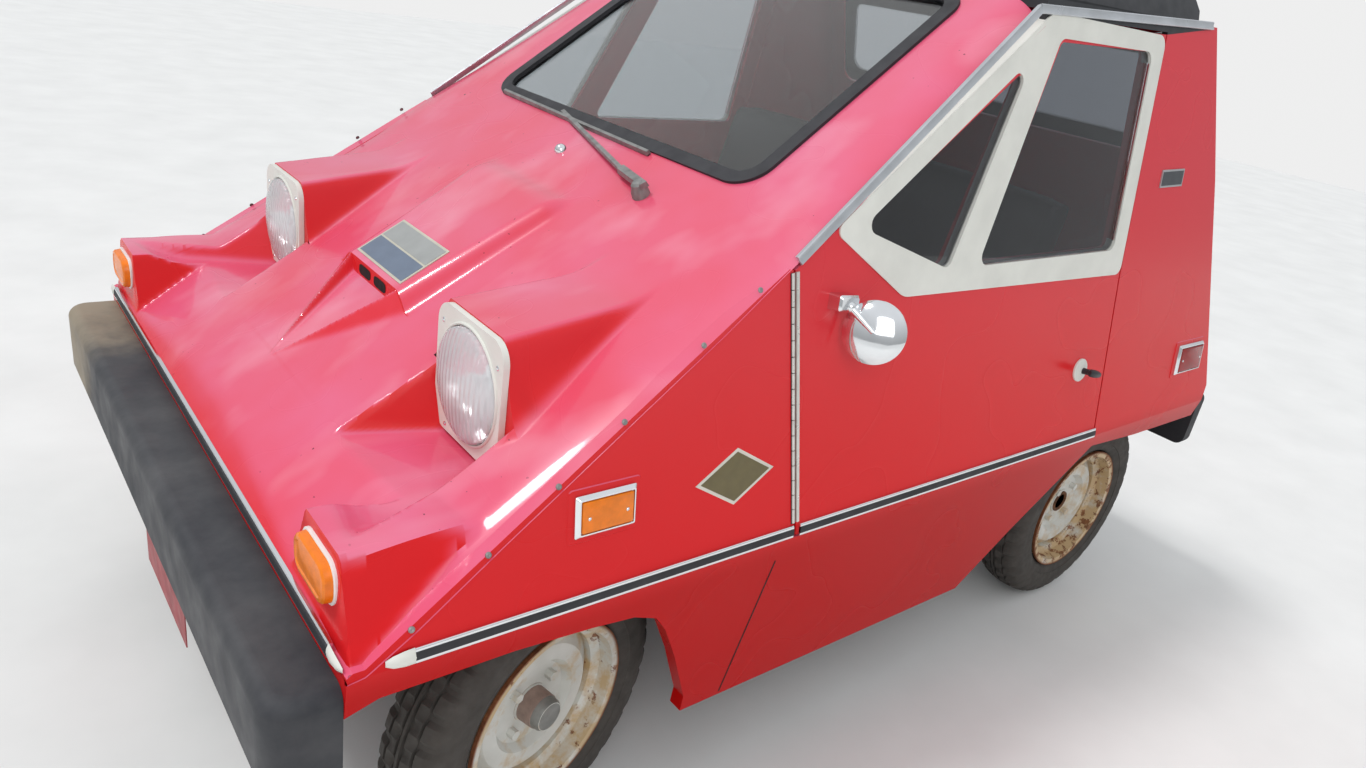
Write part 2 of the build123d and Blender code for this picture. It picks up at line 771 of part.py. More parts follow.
with BuildPart() as quarter_panels:
    for _, side in SIDES:
        add(side_panel(side, QUARTER_OUTLINE, [REAR_CUT, DOOR_VOID]))
quarter_panels.part.label = "quarter_panels"
export_step(quarter_panels.part, "parts/quarter_panels.step")

# Tail with the opening of the rear hatch
TAIL_RISE = atan2(ROOF_REAR_Z - WAIST_Z, ROOF_REAR_X - WAIST_X)
HATCH_PLANE = Plane(
    origin=(ROOF_REAR_X, 0, ROOF_REAR_Z),
    x_dir=(0, -1, 0),
    z_dir=(-sin(TAIL_RISE), 0, cos(TAIL_RISE)),
)


def hatch_slab(inset, below, above):
    """The hatch's outline as a slab about the upper tail face."""
    top = -HATCH_TOP - inset
    bottom = HATCH_MARGIN_LOW - TAIL_FACE + inset
    with BuildPart() as slab:
        with BuildSketch(HATCH_PLANE.offset(-below)):
            with BuildLine():
                Polyline(
                    (-HATCH_HALF_TOP + inset, top),
                    (HATCH_HALF_TOP - inset, top),
                    (HATCH_HALF_LOW - inset, bottom),
                    (-HATCH_HALF_LOW + inset, bottom),
                    close=True,
                )
            made = make_face()
            fillet(made.vertices(), HATCH_CORNER)
        extrude(amount=below + above)
    return slab.part


with BuildPart() as tail_panel:
    add(SHELL)
    add(prism_y(TAIL_OUTLINE, -FAR, FAR), mode=Mode.INTERSECT)
    add(REAR_CUT, mode=Mode.SUBTRACT)
    add(hatch_slab(-DOOR_GAP, 40.0, 40.0), mode=Mode.SUBTRACT)
tail_panel.part.label = "tail_panel"
export_step(tail_panel.part, "parts/tail_panel.step")

with BuildPart() as hatch_frame:
    add(hatch_slab(0.0, SKIN, 0.0))
    add(hatch_slab(HATCH_BORDER, SKIN + 1.0, 1.0), mode=Mode.SUBTRACT)
    for y in (-HATCH_HINGE_Y, HATCH_HINGE_Y):
        pin = HATCH_PLANE.location * Location((y, -HATCH_TOP + DOOR_GAP / 2, 0))
        with BuildSketch(Plane(origin=pin.position, z_dir=(0, 1, 0)).offset(-HATCH_HINGE_HALF)):
            Circle(DOOR_GAP / 2 - FIT)
        extrude(amount=2 * HATCH_HINGE_HALF)
        with BuildSketch(HATCH_PLANE):
            with Locations((y, -HATCH_TOP + DOOR_GAP / 2 - HINGE_LEAF / 2)):
                Rectangle(2 * HATCH_HINGE_HALF, HINGE_LEAF)
        extrude(amount=HINGE_SHEET)
hatch_frame.part.label = "hatch_frame"
export_step(hatch_frame.part, "parts/hatch_frame.step")

with BuildPart() as hatch_glass:
    add(hatch_slab(HATCH_BORDER + FIT, GLASS_DEPTH + GLASS, -GLASS_DEPTH))
hatch_glass.part.label = "hatch_glass"
export_step(hatch_glass.part, "parts/hatch_glass.step")

# Black roof, raised above the drip rails


def raised_roof(inset):
    """The raised middle of the roof as a solid, drawn in by inset."""
    side_view = [
        (ROOF_FRONT_X - 8.0 - inset, ROOF_FRONT_Z - 40.0),
        (ROOF_FRONT_X - 8.0 - inset, ROOF_FRONT_Z + 2.0),
        (ROOF_FRONT_X - 70.0, ROOF_RAISE_FRONT_Z - inset),
        (ROOF_REAR_X + 46.0, ROOF_RAISE_REAR_Z - inset),
        (ROOF_REAR_X + 8.0 + inset, ROOF_REAR_Z + 4.0),
        (ROOF_REAR_X + 8.0 + inset, ROOF_FRONT_Z - 40.0),
    ]
    front_view = [
        (-ROOF_RAISE_HALF + inset, ROOF_FRONT_Z - 60.0),
        (ROOF_RAISE_HALF - inset, ROOF_FRONT_Z - 60.0),
        (ROOF_RAISE_HALF - inset, ROOF_REAR_Z),
        (ROOF_RAISE_HALF - inset - 40.0, HIGH),
        (-ROOF_RAISE_HALF + inset + 40.0, HIGH),
        (-ROOF_RAISE_HALF + inset, ROOF_REAR_Z),
    ]
    with BuildPart() as raised:
        add(prism_y(side_view, -WIDTH, WIDTH))
        add(prism_x(front_view, -FAR, FAR), mode=Mode.INTERSECT)
    return raised.part


with BuildPart() as roof_panel:
    add(OUTER)
    add(raised_roof(0.0))
    add(body_solid(SKIN, SKIN, SILL_Z - 100.0), mode=Mode.SUBTRACT)
    add(raised_roof(SKIN), mode=Mode.SUBTRACT)
    add(prism_y(ROOF_OUTLINE, -FAR, FAR), mode=Mode.INTERSECT)
    add(DOOR_VOID, mode=Mode.SUBTRACT)
roof_panel.part.label = "roof_panel"
export_step(roof_panel.part, "parts/roof_panel.step")

# Doors: a red panel below, a white window frame above, glass, and the fittings outside
FRAME_OUTLINE = [
    (COWL_X - 5.0, FRAME_WAIST_Z + 126.0),
    (DOOR_TOP_X, DOOR_TOP_Z + 80.0),
    (DOOR_REAR_TOP_X - 60.0, DOOR_REAR_TOP_Z + 80.0),
    (DOOR_REAR_TOP_X - 60.0, DOOR_WAIST_Z),
    (FRAME_WAIST_X, FRAME_WAIST_Z),
]
FRONT_PANE = [
    (FRAME_WAIST_X + 123.0, FRAME_WAIST_Z + 120.0),
    (DOOR_TOP_X + 39.0, DOOR_TOP_Z - 70.0),
    (FRAME_WAIST_X - 113.0, FRAME_WAIST_Z + 41.0),
]
REAR_PANE = [
    (DOOR_TOP_X - 38.0, DOOR_TOP_Z - 34.0),
    (DOOR_REAR_TOP_X + 45.0, DOOR_REAR_TOP_Z - 35.0),
    (DOOR_REAR_TOP_X + 50.0, FRAME_WAIST_Z + 44.0),
    (FRAME_WAIST_X - 198.0, FRAME_WAIST_Z + 41.0),
]
PANES = (FRONT_PANE, REAR_PANE)


def pane_prism(outline, grow):
    """The space of one window pane, grown by some millimetres."""
    with BuildPart() as pane:
        with BuildSketch(Plane.XZ.offset(-WIDTH)):
            with BuildLine():
                Polyline(*outline, close=True)
            made = make_face()
            fillet(made.vertices(), PANE_CORNER)
            if grow:
                offset(amount=grow)
        extrude(amount=2 * WIDTH)
    return pane.part


DOOR_PRISM = prism_y(DOOR_OUTLINE, -FAR, FAR)
FRAME_PRISM = prism_y(FRAME_OUTLINE, -FAR, FAR)
for name, side in SIDES:
    with BuildPart() as door_panel:
        add(wall_slab(side, DOOR_THICK))
        add(DOOR_PRISM, mode=Mode.INTERSECT)
        add(FRAME_PRISM, mode=Mode.SUBTRACT)
    door_panel.part.label = f"door_panel_{name}"
    export_step(door_panel.part, f"parts/door_panel_{name}.step")

    with BuildPart() as window_frame:
        add(wall_slab(side, DOOR_THICK))
        add(DOOR_PRISM, mode=Mode.INTERSECT)
        add(FRAME_PRISM, mode=Mode.INTERSECT)
        for outline in PANES:
            add(pane_prism(outline, 0.0), mode=Mode.SUBTRACT)
    window_frame.part.label = f"window_frame_{name}"
    export_step(window_frame.part, f"parts/window_frame_{name}.step")

    with BuildPart() as door_glass:
        for outline in PANES:
            add(pane_prism(outline, -FIT))
        add(wall_slab(side, GLASS_DEPTH + GLASS), mode=Mode.INTERSECT)
        add(wall_slab(side, GLASS_DEPTH), mode=Mode.SUBTRACT)
    door_glass.part.label = f"door_glass_{name}"
    export_step(door_glass.part, f"parts/door_glass_{name}.step")


def side_plane(x, z, side):
    """A plane on the outer face of one upper side: its X runs along the car, its Y up the face."""
    lean = sqrt(1 + TUMBLEHOME**2)
    normal = (0, side / lean, TUMBLEHOME / lean)
    return Plane(origin=(x, side * half_width(z), z), x_dir=(-side, 0, 0), z_dir=normal)


def hinge_x(z):
    """The door hinge's X at height z, in the middle of the gap before the door."""
    lean = (HINGE_TOP_X - HINGE_LOW_X) / (SEAM_TOP_Z - 2.0 - BELT_Z)
    return HINGE_LOW_X + lean * (z - BELT_Z) + DOOR_GAP / 2 * sqrt(1 + lean**2)


def side_point(x, z, side):
    """A point on the outer face of one upper side."""
    return (x, side * half_width(z), z)


for name, side in SIDES:
    hinge_low = side_point(hinge_x(HINGE_LOW_Z), HINGE_LOW_Z, side)
    hinge_top = side_point(hinge_x(HINGE_TOP_Z), HINGE_TOP_Z, side)
    leaf_outline = [
        (hinge_x(HINGE_LOW_Z), HINGE_LOW_Z),
        (hinge_x(HINGE_TOP_Z), HINGE_TOP_Z),
        (hinge_x(HINGE_TOP_Z) - HINGE_LEAF, HINGE_TOP_Z),
        (hinge_x(HINGE_LOW_Z) - HINGE_LEAF, HINGE_LOW_Z),
    ]
    with BuildPart() as door_fittings:
        add(wall_slab(side, -HINGE_SHEET))
        add(prism_y(leaf_outline, -FAR, FAR), mode=Mode.INTERSECT)
        add(cylinder(hinge_low, hinge_top, DOOR_GAP / 2 - FIT))
        with BuildSketch(side_plane(MIRROR_X, MIRROR_Z, side)):
            Rectangle(46.0, 24.0)
        extrude(amount=MIRROR_FOOT)
        add(
            cylinder(
                (MIRROR_X, side * (half_width(MIRROR_Z) + MIRROR_FOOT), MIRROR_Z),
                (MIRROR_X - 50.0, side * MIRROR_DISC_Y, MIRROR_DISC_Z),
                6.0,
            )
        )
        with BuildSketch(
            Plane(
                origin=(MIRROR_X - 62.0, side * MIRROR_DISC_Y, MIRROR_DISC_Z),
                z_dir=(1.0, side * 0.35, 0.1),
            )
        ):
            Circle(MIRROR_R)
        extrude(amount=16.0)
        with BuildSketch(side_plane(HANDLE_X, HANDLE_Z, side)):
            Circle(22.0)
        extrude(amount=6.0)
        with BuildSketch(side_plane(HANDLE_X, HANDLE_Z, side)):
            Circle(7.0)
        extrude(amount=34.0)
        with BuildSketch(side_plane(HANDLE_X, HANDLE_Z, side).offset(28.0)):
            Rectangle(18.0, 64.0)
        extrude(amount=14.0)
    door_fittings.part.label = f"door_fittings_{name}"
    export_step(door_fittings.part, f"parts/door_fittings_{name}.step")

# Lamps
with BuildPart() as headlamps:
    for _, side in SIDES:
        with BuildSketch(Plane(origin=(LAMP_X, side * LAMP_Y, LAMP_Z), x_dir=(0, 0, 1), z_dir=(0, 1, 0))):
            with BuildLine():
                TangentArc((0, LENS_BULGE), (LAMP_R - LAMP_CLEARANCE, 0), tangent=(1, 0))
                Polyline(
                    (LAMP_R - LAMP_CLEARANCE, 0),
                    (LAMP_R - LAMP_CLEARANCE, -12.0),
                    (30.0, -LAMP_DEPTH + 4.0),
                    (0, -LAMP_DEPTH + 4.0),
                    (0, LENS_BULGE),
                )
            make_face()
        revolve(axis=Axis((LAMP_X, side * LAMP_Y, LAMP_Z), (1, 0, 0)))
headlamps.part.label = "headlamps"
export_step(headlamps.part, "parts/headlamps.step")

with BuildPart() as headlamp_bezels:
    for _, side in SIDES:
        with BuildSketch(Plane.YZ.offset(LAMP_X + FIT)):
            with Locations((side * LAMP_Y, LAMP_Z)):
                RectangleRounded(2 * BEZEL_HALF, 2 * BEZEL_HALF, BEZEL_CORNER)
                Circle(LAMP_R + 1.0, mode=Mode.SUBTRACT)
        extrude(amount=BEZEL_THICK)
headlamp_bezels.part.label = "headlamp_bezels"
export_step(headlamp_bezels.part, "parts/headlamp_bezels.step")

with BuildPart() as indicator_lamps:
    for _, side in SIDES:
        with BuildSketch(Plane.YZ.offset(TURN_X + FIT)):
            with Locations((side * TURN_Y, TURN_Z)):
                Circle(TURN_R)
        extrude(amount=26.0)
        for x, z, long, high in SIDE_MARKERS:
            with BuildSketch(side_plane(x, z, side)):
                Rectangle(long, high)
            extrude(amount=14.0)
indicator_lamps.part.label = "indicator_lamps"
export_step(indicator_lamps.part, "parts/indicator_lamps.step")

TAIL_LEAN = atan2(WAIST_Z - TAIL_Z, WAIST_X - TAIL_X)
with BuildPart() as tail_lamps:
    for y in (TAIL_LAMP_INNER_Y, TAIL_LAMP_OUTER_Y, -TAIL_LAMP_INNER_Y, -TAIL_LAMP_OUTER_Y):
        rise = TAIL_LAMP_Z - TAIL_Z
        centre = (TAIL_X + rise * cos(TAIL_LEAN) / sin(TAIL_LEAN), y, TAIL_LAMP_Z)
        with BuildSketch(
            Plane(origin=centre, x_dir=(0, -1, 0), z_dir=(-sin(TAIL_LEAN), 0, cos(TAIL_LEAN))).offset(FIT)
        ):
            Circle(TAIL_LAMP_R)
        extrude(amount=24.0)
tail_lamps.part.label = "tail_lamps"
export_step(tail_lamps.part, "parts/tail_lamps.step")

with BuildPart() as wiper:
    add(cylinder((WIPER_X, WIPER_Y, WIPER_Z - 20.0), (WIPER_X, WIPER_Y, WIPER_Z + 18.0), 15.0))
    add(OUTER, mode=Mode.SUBTRACT)
    add(cylinder((WIPER_X, WIPER_Y, WIPER_Z + 12.0), (WIPER_TIP_X, WIPER_TIP_Y, WIPER_TIP_Z), 5.0))
    add(
        cylinder(
            (WIPER_TIP_X, WIPER_TIP_Y - BLADE_LONG, WIPER_TIP_Z),
            (WIPER_TIP_X, WIPER_TIP_Y + BLADE_SHORT, WIPER_TIP_Z),
            BLADE_R,
        )
    )
wiper.part.label = "wiper"
export_step(wiper.part, "parts/wiper.step")

# Bumpers and plates
BUMPERS = (
    # name, side of the car it is on, inner face, outer face, heights
    ("front_bumper", 1, NOSE_X + FIT, LENGTH / 2, FRONT_BUMPER_Z),
    ("rear_bumper", -1, TAIL_X - FIT, -LENGTH / 2, REAR_BUMPER_Z),
)
for name, way, inner_x, outer_x, heights in BUMPERS:
    with BuildPart() as bumper:
        with BuildSketch(Plane.XY.offset(heights[0])):
            with BuildLine():
                Polyline(
                    (inner_x, -BUMPER_HALF),
                    (outer_x, -BUMPER_HALF),
                    (outer_x, BUMPER_HALF),
                    (inner_x, BUMPER_HALF),
                    close=True,
                )
            made = make_face()
            outer_corners = made.vertices().sort_by(Axis.X, reverse=way > 0)[:2]
            fillet(outer_corners, BUMPER_CORNER)
        extrude(amount=heights[1] - heights[0])
        outer_edges = bumper.edges().filter_by(Axis.Y).sort_by(Axis.X, reverse=way > 0)[:2]
        fillet(outer_edges, BUMPER_ROUND)
    bumper.part.label = name
    export_step(bumper.part, f"parts/{name}.step")

with BuildPart() as licence_plates:
    plate_y = (FRONT_PLATE_Y - PLATE_LENGTH / 2, FRONT_PLATE_Y + PLATE_LENGTH / 2)
    plate_z = (PLATE_LOW_Z, PLATE_LOW_Z + PLATE_HEIGHT)
    add(block((FRONT_PLATE_X, FRONT_PLATE_X + PLATE_THICK), plate_y, plate_z))
    for y in (-PLATE_HOLE_SPACING / 2, PLATE_HOLE_SPACING / 2):
        add(
            block(
                (FRONT_PLATE_X - 6.0, FRONT_PLATE_X),
                (FRONT_PLATE_Y + y - 15.0, FRONT_PLATE_Y + y + 15.0),
                (270.0, FRONT_BUMPER_Z[0] - FIT),
            )
        )
licence_plates.part.label = "licence_plates"
export_step(licence_plates.part, "parts/licence_plates.step")

# Chassis ladder in three bolted stretches, with bumper arms and tow eyes at its ends
FRONT_RAILS = (
    # x, height of the rail's top
    (NOSE_X - 30.0, RAIL_HIGH_Z),
    (AXLE_F - 276.0, RAIL_HIGH_Z),
    (AXLE_F - 316.0, FLOOR_Z),
)
REAR_RAILS = (
    # x, height of the rail's top
    (AXLE_R + 456.0, FLOOR_Z),
    (AXLE_R + 356.0, RAIL_HIGH_Z),
    (TAIL_LOW_X + 20.0, RAIL_HIGH_Z),
)
MIDDLE_RAILS = ((FRONT_RAILS[-1][0] - FIT, FLOOR_Z), (REAR_RAILS[0][0] + FIT, FLOOR_Z))


def rails(path):
    """The two rails along one path of the chassis."""
    underside = [(x, z - RAIL_SIZE) for x, z in reversed(path)]
    with BuildPart() as pair:
        for _, side in SIDES:
            low = side * RAIL_Y - RAIL_SIZE / 2
            add(prism_y(list(path) + underside, low, low + RAIL_SIZE))
    return pair.part


def cross_bar(x, top):
    """One bar from rail to rail."""
    return block((x - RAIL_SIZE / 2, x + RAIL_SIZE / 2), (-RAIL_Y, RAIL_Y), (top - RAIL_SIZE, top))


CHASSIS_ENDS = (
    # name, path of its rails, axle on its springs, end of its rails, bumper's face, way out, cross bar
    ("front", FRONT_RAILS, AXLE_F, FRONT_RAILS[0][0], NOSE_X, 1, NOSE_X - 60.0),
    ("rear", REAR_RAILS, AXLE_R, REAR_RAILS[-1][0], TAIL_X, -1, TAIL_LOW_X + 50.0),
)
for name, path, axle, rail_end, bumper_x, way, bar_x in CHASSIS_ENDS:
    with BuildPart() as chassis_end:
        add(rails(path))
        add(cross_bar(bar_x, RAIL_HIGH_Z))
        for _, side in SIDES:
            across = (side * RAIL_Y - RAIL_SIZE / 2, side * RAIL_Y + RAIL_SIZE / 2)
            hanger = sorted((side * RAIL_Y, side * (SPRING_Y + SPRING_WIDTH / 2)))
            for x in (axle - SPRING_HALF, axle + SPRING_HALF):
                heights = (SPRING_END_Z + SPRING_THICK / 2 + FIT, RAIL_HIGH_Z - 8.0)
                add(block((x - HANGER_HALF, x + HANGER_HALF), hanger, heights))
            root = rail_end - way * ARM_SIZE
            add(block(sorted((root, rail_end)), across, (RAIL_HIGH_Z - RAIL_SIZE / 2, ARM_TOP_Z)))
            add(block(sorted((root, bumper_x)), across, (ARM_TOP_Z - ARM_SIZE, ARM_TOP_Z)))
            with BuildSketch(Plane.XY.offset(RAIL_HIGH_Z - RAIL_SIZE)):
                with Locations((rail_end + way * TOW_EYE_OUT, side * RAIL_Y)):
                    Circle(TOW_EYE_HALF)
                with Locations((rail_end, side * RAIL_Y)):
                    Rectangle(2 * TOW_EYE_OUT, 2 * TOW_EYE_HALF)
                with Locations((rail_end + way * TOW_EYE_OUT, side * RAIL_Y)):
                    Circle(TOW_EYE_R, mode=Mode.SUBTRACT)
            extrude(amount=TOW_EYE_THICK)
    chassis_end.part.label = f"chassis_{name}"
    export_step(chassis_end.part, f"parts/chassis_{name}.step")

with BuildPart() as chassis_middle:
    add(rails(MIDDLE_RAILS))
    for x in (AXLE_F - 380.0, AXLE_R + 500.0):
        add(cross_bar(x, FLOOR_Z))
chassis_middle.part.label = "chassis_middle"
export_step(chassis_middle.part, "parts/chassis_middle.step")

# Floor: toe board, flat floor, slanting riser behind the seat and the deck over the rear wheels
RISER_SLANT = atan2(DECK_Z - FLOOR_Z, RISER_LOW_X - RISER_HIGH_X)
RISER_SHIFT = FLOOR_THICK * tan(RISER_SLANT / 2)
DECK_REAR_X = TAIL_LOW_X + SKIN + 4.0
FLOOR_OUTLINE = (
    (FIREWALL_X, FIREWALL_TOP_Z),
    (FIREWALL_X, FLOOR_Z),
    (RISER_LOW_X, FLOOR_Z),
    (RISER_HIGH_X, DECK_Z),
    (DECK_REAR_X, DECK_Z),
    (DECK_REAR_X, DECK_Z + FLOOR_THICK),
    (RISER_HIGH_X + RISER_SHIFT, DECK_Z + FLOOR_THICK),
    (RISER_LOW_X + RISER_SHIFT, FLOOR_Z + FLOOR_THICK),
    (FIREWALL_X - FLOOR_THICK, FLOOR_Z + FLOOR_THICK),
    (FIREWALL_X - FLOOR_THICK, FIREWALL_TOP_Z),
)
with BuildPart() as floor_pan:
    add(prism_y(FLOOR_OUTLINE, -WIDTH, WIDTH))
    add(prism_x(section_points(SIDE_WALL + FIT, SILL_Z, HIGH), -FAR, FAR), mode=Mode.INTERSECT)
floor_pan.part.label = "floor_pan"
export_step(floor_pan.part, "parts/floor_pan.step")

# Heavy masses
with BuildPart() as battery_pack:
    add(
        block(
            (BATTERY_REAR_X, BATTERY_FRONT_X),
            (-BATTERY_HALF, BATTERY_HALF),
            (FLOOR_Z + FLOOR_THICK + FIT, BATTERY_TOP_Z),
        )
    )
battery_pack.part.label = "battery_pack"
export_step(battery_pack.part, "parts/battery_pack.step")

with BuildPart() as drive_motor:
    add(cylinder((AXLE_R + MOTOR_R + FIT, 0, AXLE_Z), (MOTOR_END_X, 0, AXLE_Z), MOTOR_R))
drive_motor.part.label = "drive_motor"
export_step(drive_motor.part, "parts/drive_motor.step")


# Leaf springs and axles
def leaf_spring(x, side):
    """One leaf spring that rests on its axle and curves up to its hangers."""
    middle = AXLE_Z + AXLE_TUBE_R + SPRING_THICK / 2
    half = SPRING_THICK / 2
    rear = x - SPRING_HALF - SPRING_EYE
    front = x + SPRING_HALF + SPRING_EYE
    with BuildPart() as spring:
        with BuildSketch(Plane.XZ.offset(-side * SPRING_Y - SPRING_WIDTH / 2)):
            with BuildLine():
                ThreePointArc((rear, SPRING_END_Z - half), (x, middle - half), (front, SPRING_END_Z - half))
                Line((front, SPRING_END_Z - half), (front, SPRING_END_Z + half))
                ThreePointArc((front, SPRING_END_Z + half), (x, middle + half), (rear, SPRING_END_Z + half))
                Line((rear, SPRING_END_Z + half), (rear, SPRING_END_Z - half))
            make_face()
        extrude(amount=SPRING_WIDTH)
        across = (side * SPRING_Y - SPRING_WIDTH / 2, side * SPRING_Y + SPRING_WIDTH / 2)
        add(block((x - SPRING_PAD, x + SPRING_PAD), across, (AXLE_Z, middle + SPRING_THICK)))
    return spring.part


with BuildPart() as front_axle:
    add(cylinder((AXLE_F, -KINGPIN_Y, AXLE_Z), (AXLE_F, KINGPIN_Y, AXLE_Z), AXLE_TUBE_R))
    for _, side in SIDES:
        add(leaf_spring(AXLE_F, side))
        add(
            cylinder(
                (AXLE_F, side * KINGPIN_Y, AXLE_Z - KINGPIN_BOSS_HALF),
                (AXLE_F, side * KINGPIN_Y, AXLE_Z + KINGPIN_BOSS_HALF),
                KINGPIN_BOSS_R,
            )
        )
        add(
            cylinder(
                (AXLE_F, side * KINGPIN_Y, AXLE_Z - 2 * KINGPIN_BOSS_HALF),
                (AXLE_F, side * KINGPIN_Y, AXLE_Z + 2 * KINGPIN_BOSS_HALF),
                KINGPIN_R + SPINDLE_CLEARANCE,
            ),
            mode=Mode.SUBTRACT,
        )
front_axle.part.label = "front_axle"
export_step(front_axle.part, "parts/front_axle.step")

with BuildPart() as rear_axle:
    tube_end = REAR_TRACK / 2 - HUB_IN
    add(cylinder((AXLE_R, -tube_end, AXLE_Z), (AXLE_R, tube_end, AXLE_Z), AXLE_TUBE_R))
    add(cylinder((AXLE_R, -DIFFERENTIAL_HALF, AXLE_Z), (AXLE_R, DIFFERENTIAL_HALF, AXLE_Z), MOTOR_R))
    for _, side in SIDES:
        add(leaf_spring(AXLE_R, side))
        hub = (AXLE_R, side * tube_end, AXLE_Z)
        plate_out = (AXLE_R, side * (tube_end + BACKING_PLATE), AXLE_Z)
        spindle_out = (AXLE_R, side * (REAR_TRACK / 2 - SPINDLE_END), AXLE_Z)
        add(cylinder(hub, plate_out, DRUM_R + DRUM_LIP))
        add(cylinder(hub, spindle_out, SPINDLE_R))
rear_axle.part.label = "rear_axle"
export_step(rear_axle.part, "parts/rear_axle.step")

# Steering knuckles, turned to the angle that the car is parked at
for name, side in SIDES:
    pivot = Location((AXLE_F, side * KINGPIN_Y, 0), (0, 0, STEER_AT_REST))
    with BuildPart() as knuckle:
        low = AXLE_Z - YOKE_HALF
        high = AXLE_Z + YOKE_HALF
        with BuildSketch(Plane.XY.offset(low - YOKE_ARM)):
            Circle(KINGPIN_R)
        extrude(amount=2 * (YOKE_HALF + YOKE_ARM))
        for z in (low - YOKE_ARM, high):
            with BuildSketch(Plane.XY.offset(z)):
                Circle(KINGPIN_BOSS_R)
                with Locations((0, side * WEB_OUT / 2)):
                    Rectangle(2 * KINGPIN_BOSS_R, WEB_OUT)
            extrude(amount=YOKE_ARM)
        add(
            block(
                (-KINGPIN_BOSS_R, KINGPIN_BOSS_R),
                sorted((side * WEB_IN, side * WEB_OUT)),
                (low - YOKE_ARM, high + YOKE_ARM),
            )
        )
        hub = (0, side * (KINGPIN_OFFSET - HUB_IN), AXLE_Z)
        plate_out = (0, side * (KINGPIN_OFFSET - HUB_IN + BACKING_PLATE), AXLE_Z)
        spindle_out = (0, side * (KINGPIN_OFFSET - SPINDLE_END), AXLE_Z)
        add(cylinder(hub, plate_out, DRUM_R + DRUM_LIP))
        add(cylinder(hub, spindle_out, SPINDLE_R))
    placed = knuckle.part.moved(pivot)
    placed.label = f"knuckle_{name}"
    export_step(placed, f"parts/knuckle_{name}.step")


# Wheels, made about an axis along Z with the outside upwards
def tyre_solid():
    """One tyre, with plain grooves left to its finish."""
    half = TYRE_WIDTH / 2
    with BuildPart() as tyre:
        with BuildSketch(Plane.XZ):
            with BuildLine():
                Line((RIM_SEAT_R + RIM_WALL, -BEAD_HALF), (RIM_SEAT_R + RIM_WALL, BEAD_HALF))
                Line((RIM_SEAT_R + RIM_WALL, BEAD_HALF), (RIM_FLANGE_R + 4.0, BEAD_HALF))
                ThreePointArc(
                    (RIM_FLANGE_R + 4.0, BEAD_HALF), (SIDEWALL_R, half), (TYRE_R - 14.0, SHOULDER_HALF)
                )
                ThreePointArc((TYRE_R - 14.0, SHOULDER_HALF), (TYRE_R, 0), (TYRE_R - 14.0, -SHOULDER_HALF))
                ThreePointArc(
                    (TYRE_R - 14.0, -SHOULDER_HALF), (SIDEWALL_R, -half), (RIM_FLANGE_R + 4.0, -BEAD_HALF)
                )
                Line((RIM_FLANGE_R + 4.0, -BEAD_HALF), (RIM_SEAT_R + RIM_WALL, -BEAD_HALF))
            make_face()
        revolve(axis=Axis.Z)
    return tyre.part


def rim_solid(cap):
    """One pressed steel wheel with its hub and brake drum, with or without the long dust cap."""
    seat = RIM_SEAT_R
    out = seat + RIM_WALL - FIT
    end = RIM_HALF_WIDTH
    bead = BEAD_HALF + FIT
    with BuildPart() as rim:
        with BuildSketch(Plane.XZ):
            with BuildLine():
                Polyline(
                    (RIM_FLANGE_R, end),
                    (RIM_FLANGE_R, bead),
                    (out, bead),
                    (out, WELL_HALF + 8.0),
                    (WELL_R, WELL_HALF),
                    (WELL_R, -WELL_HALF),
                    (out, -WELL_HALF - 8.0),
                    (out, -bead),
                    (RIM_FLANGE_R, -bead),
                    (RIM_FLANGE_R, -end),
                    (seat, -end + 2.0),
                    (seat, -WELL_HALF - 10.0),
                    (WELL_R - RIM_WALL, -WELL_HALF - 2.0),
                    (WELL_R - RIM_WALL, WELL_HALF + 2.0),
                    (seat, WELL_HALF + 10.0),
                    (seat, end - 2.0),
                    close=True,
                )
            make_face()
            with BuildLine():
                Polyline(
                    (HUB_R - 4.0, LUG_PLANE),
                    (DISC_LUG_R, LUG_PLANE),
                    (DISC_LUG_R + 10.0, LUG_PLANE + DISC_RISE),
                    (DISC_RING_R, LUG_PLANE + DISC_RISE),
                    (WELL_R - 2.0, 2.0),
                    (WELL_R - 2.0, -4.0),
                    (DISC_RING_R - 2.0, LUG_PLANE + DISC_RISE - 5.0),
                    (DISC_LUG_R + 12.0, LUG_PLANE + DISC_RISE - 5.0),
                    (DISC_LUG_R + 2.0, LUG_PLANE - 5.0),
                    (HUB_R - 4.0, LUG_PLANE - 5.0),
                    close=True,
                )
            make_face()
        revolve(axis=Axis.Z)
        drum_in = -HUB_IN + BACKING_PLATE + 2.0
        with BuildSketch(Plane.XY.offset(drum_in)):
            Circle(DRUM_R)
        extrude(amount=LUG_PLANE - 4.0 - drum_in)
        with BuildSketch(Plane.XY.offset(drum_in)):
            Circle(HUB_R)
        extrude(amount=LUG_PLANE + 3.0 - drum_in)
        with BuildSketch(Plane.XY.offset(LUG_PLANE)):
            with PolarLocations(LUG_CIRCLE_R, 4, start_angle=45.0):
                RegularPolygon(9.0, 6)
        extrude(amount=14.0)
        if cap:
            with BuildSketch(Plane.XY.offset(LUG_PLANE)):
                Circle(DUST_CAP_R)
            extrude(amount=DUST_CAP_LENGTH)
        with BuildSketch(Plane.XY.offset(drum_in - 1.0)):
            Circle(SPINDLE_R + SPINDLE_CLEARANCE)
        extrude(amount=HUB_IN - SPINDLE_END - BACKING_PLATE + 1.0, mode=Mode.SUBTRACT)
    return rim.part


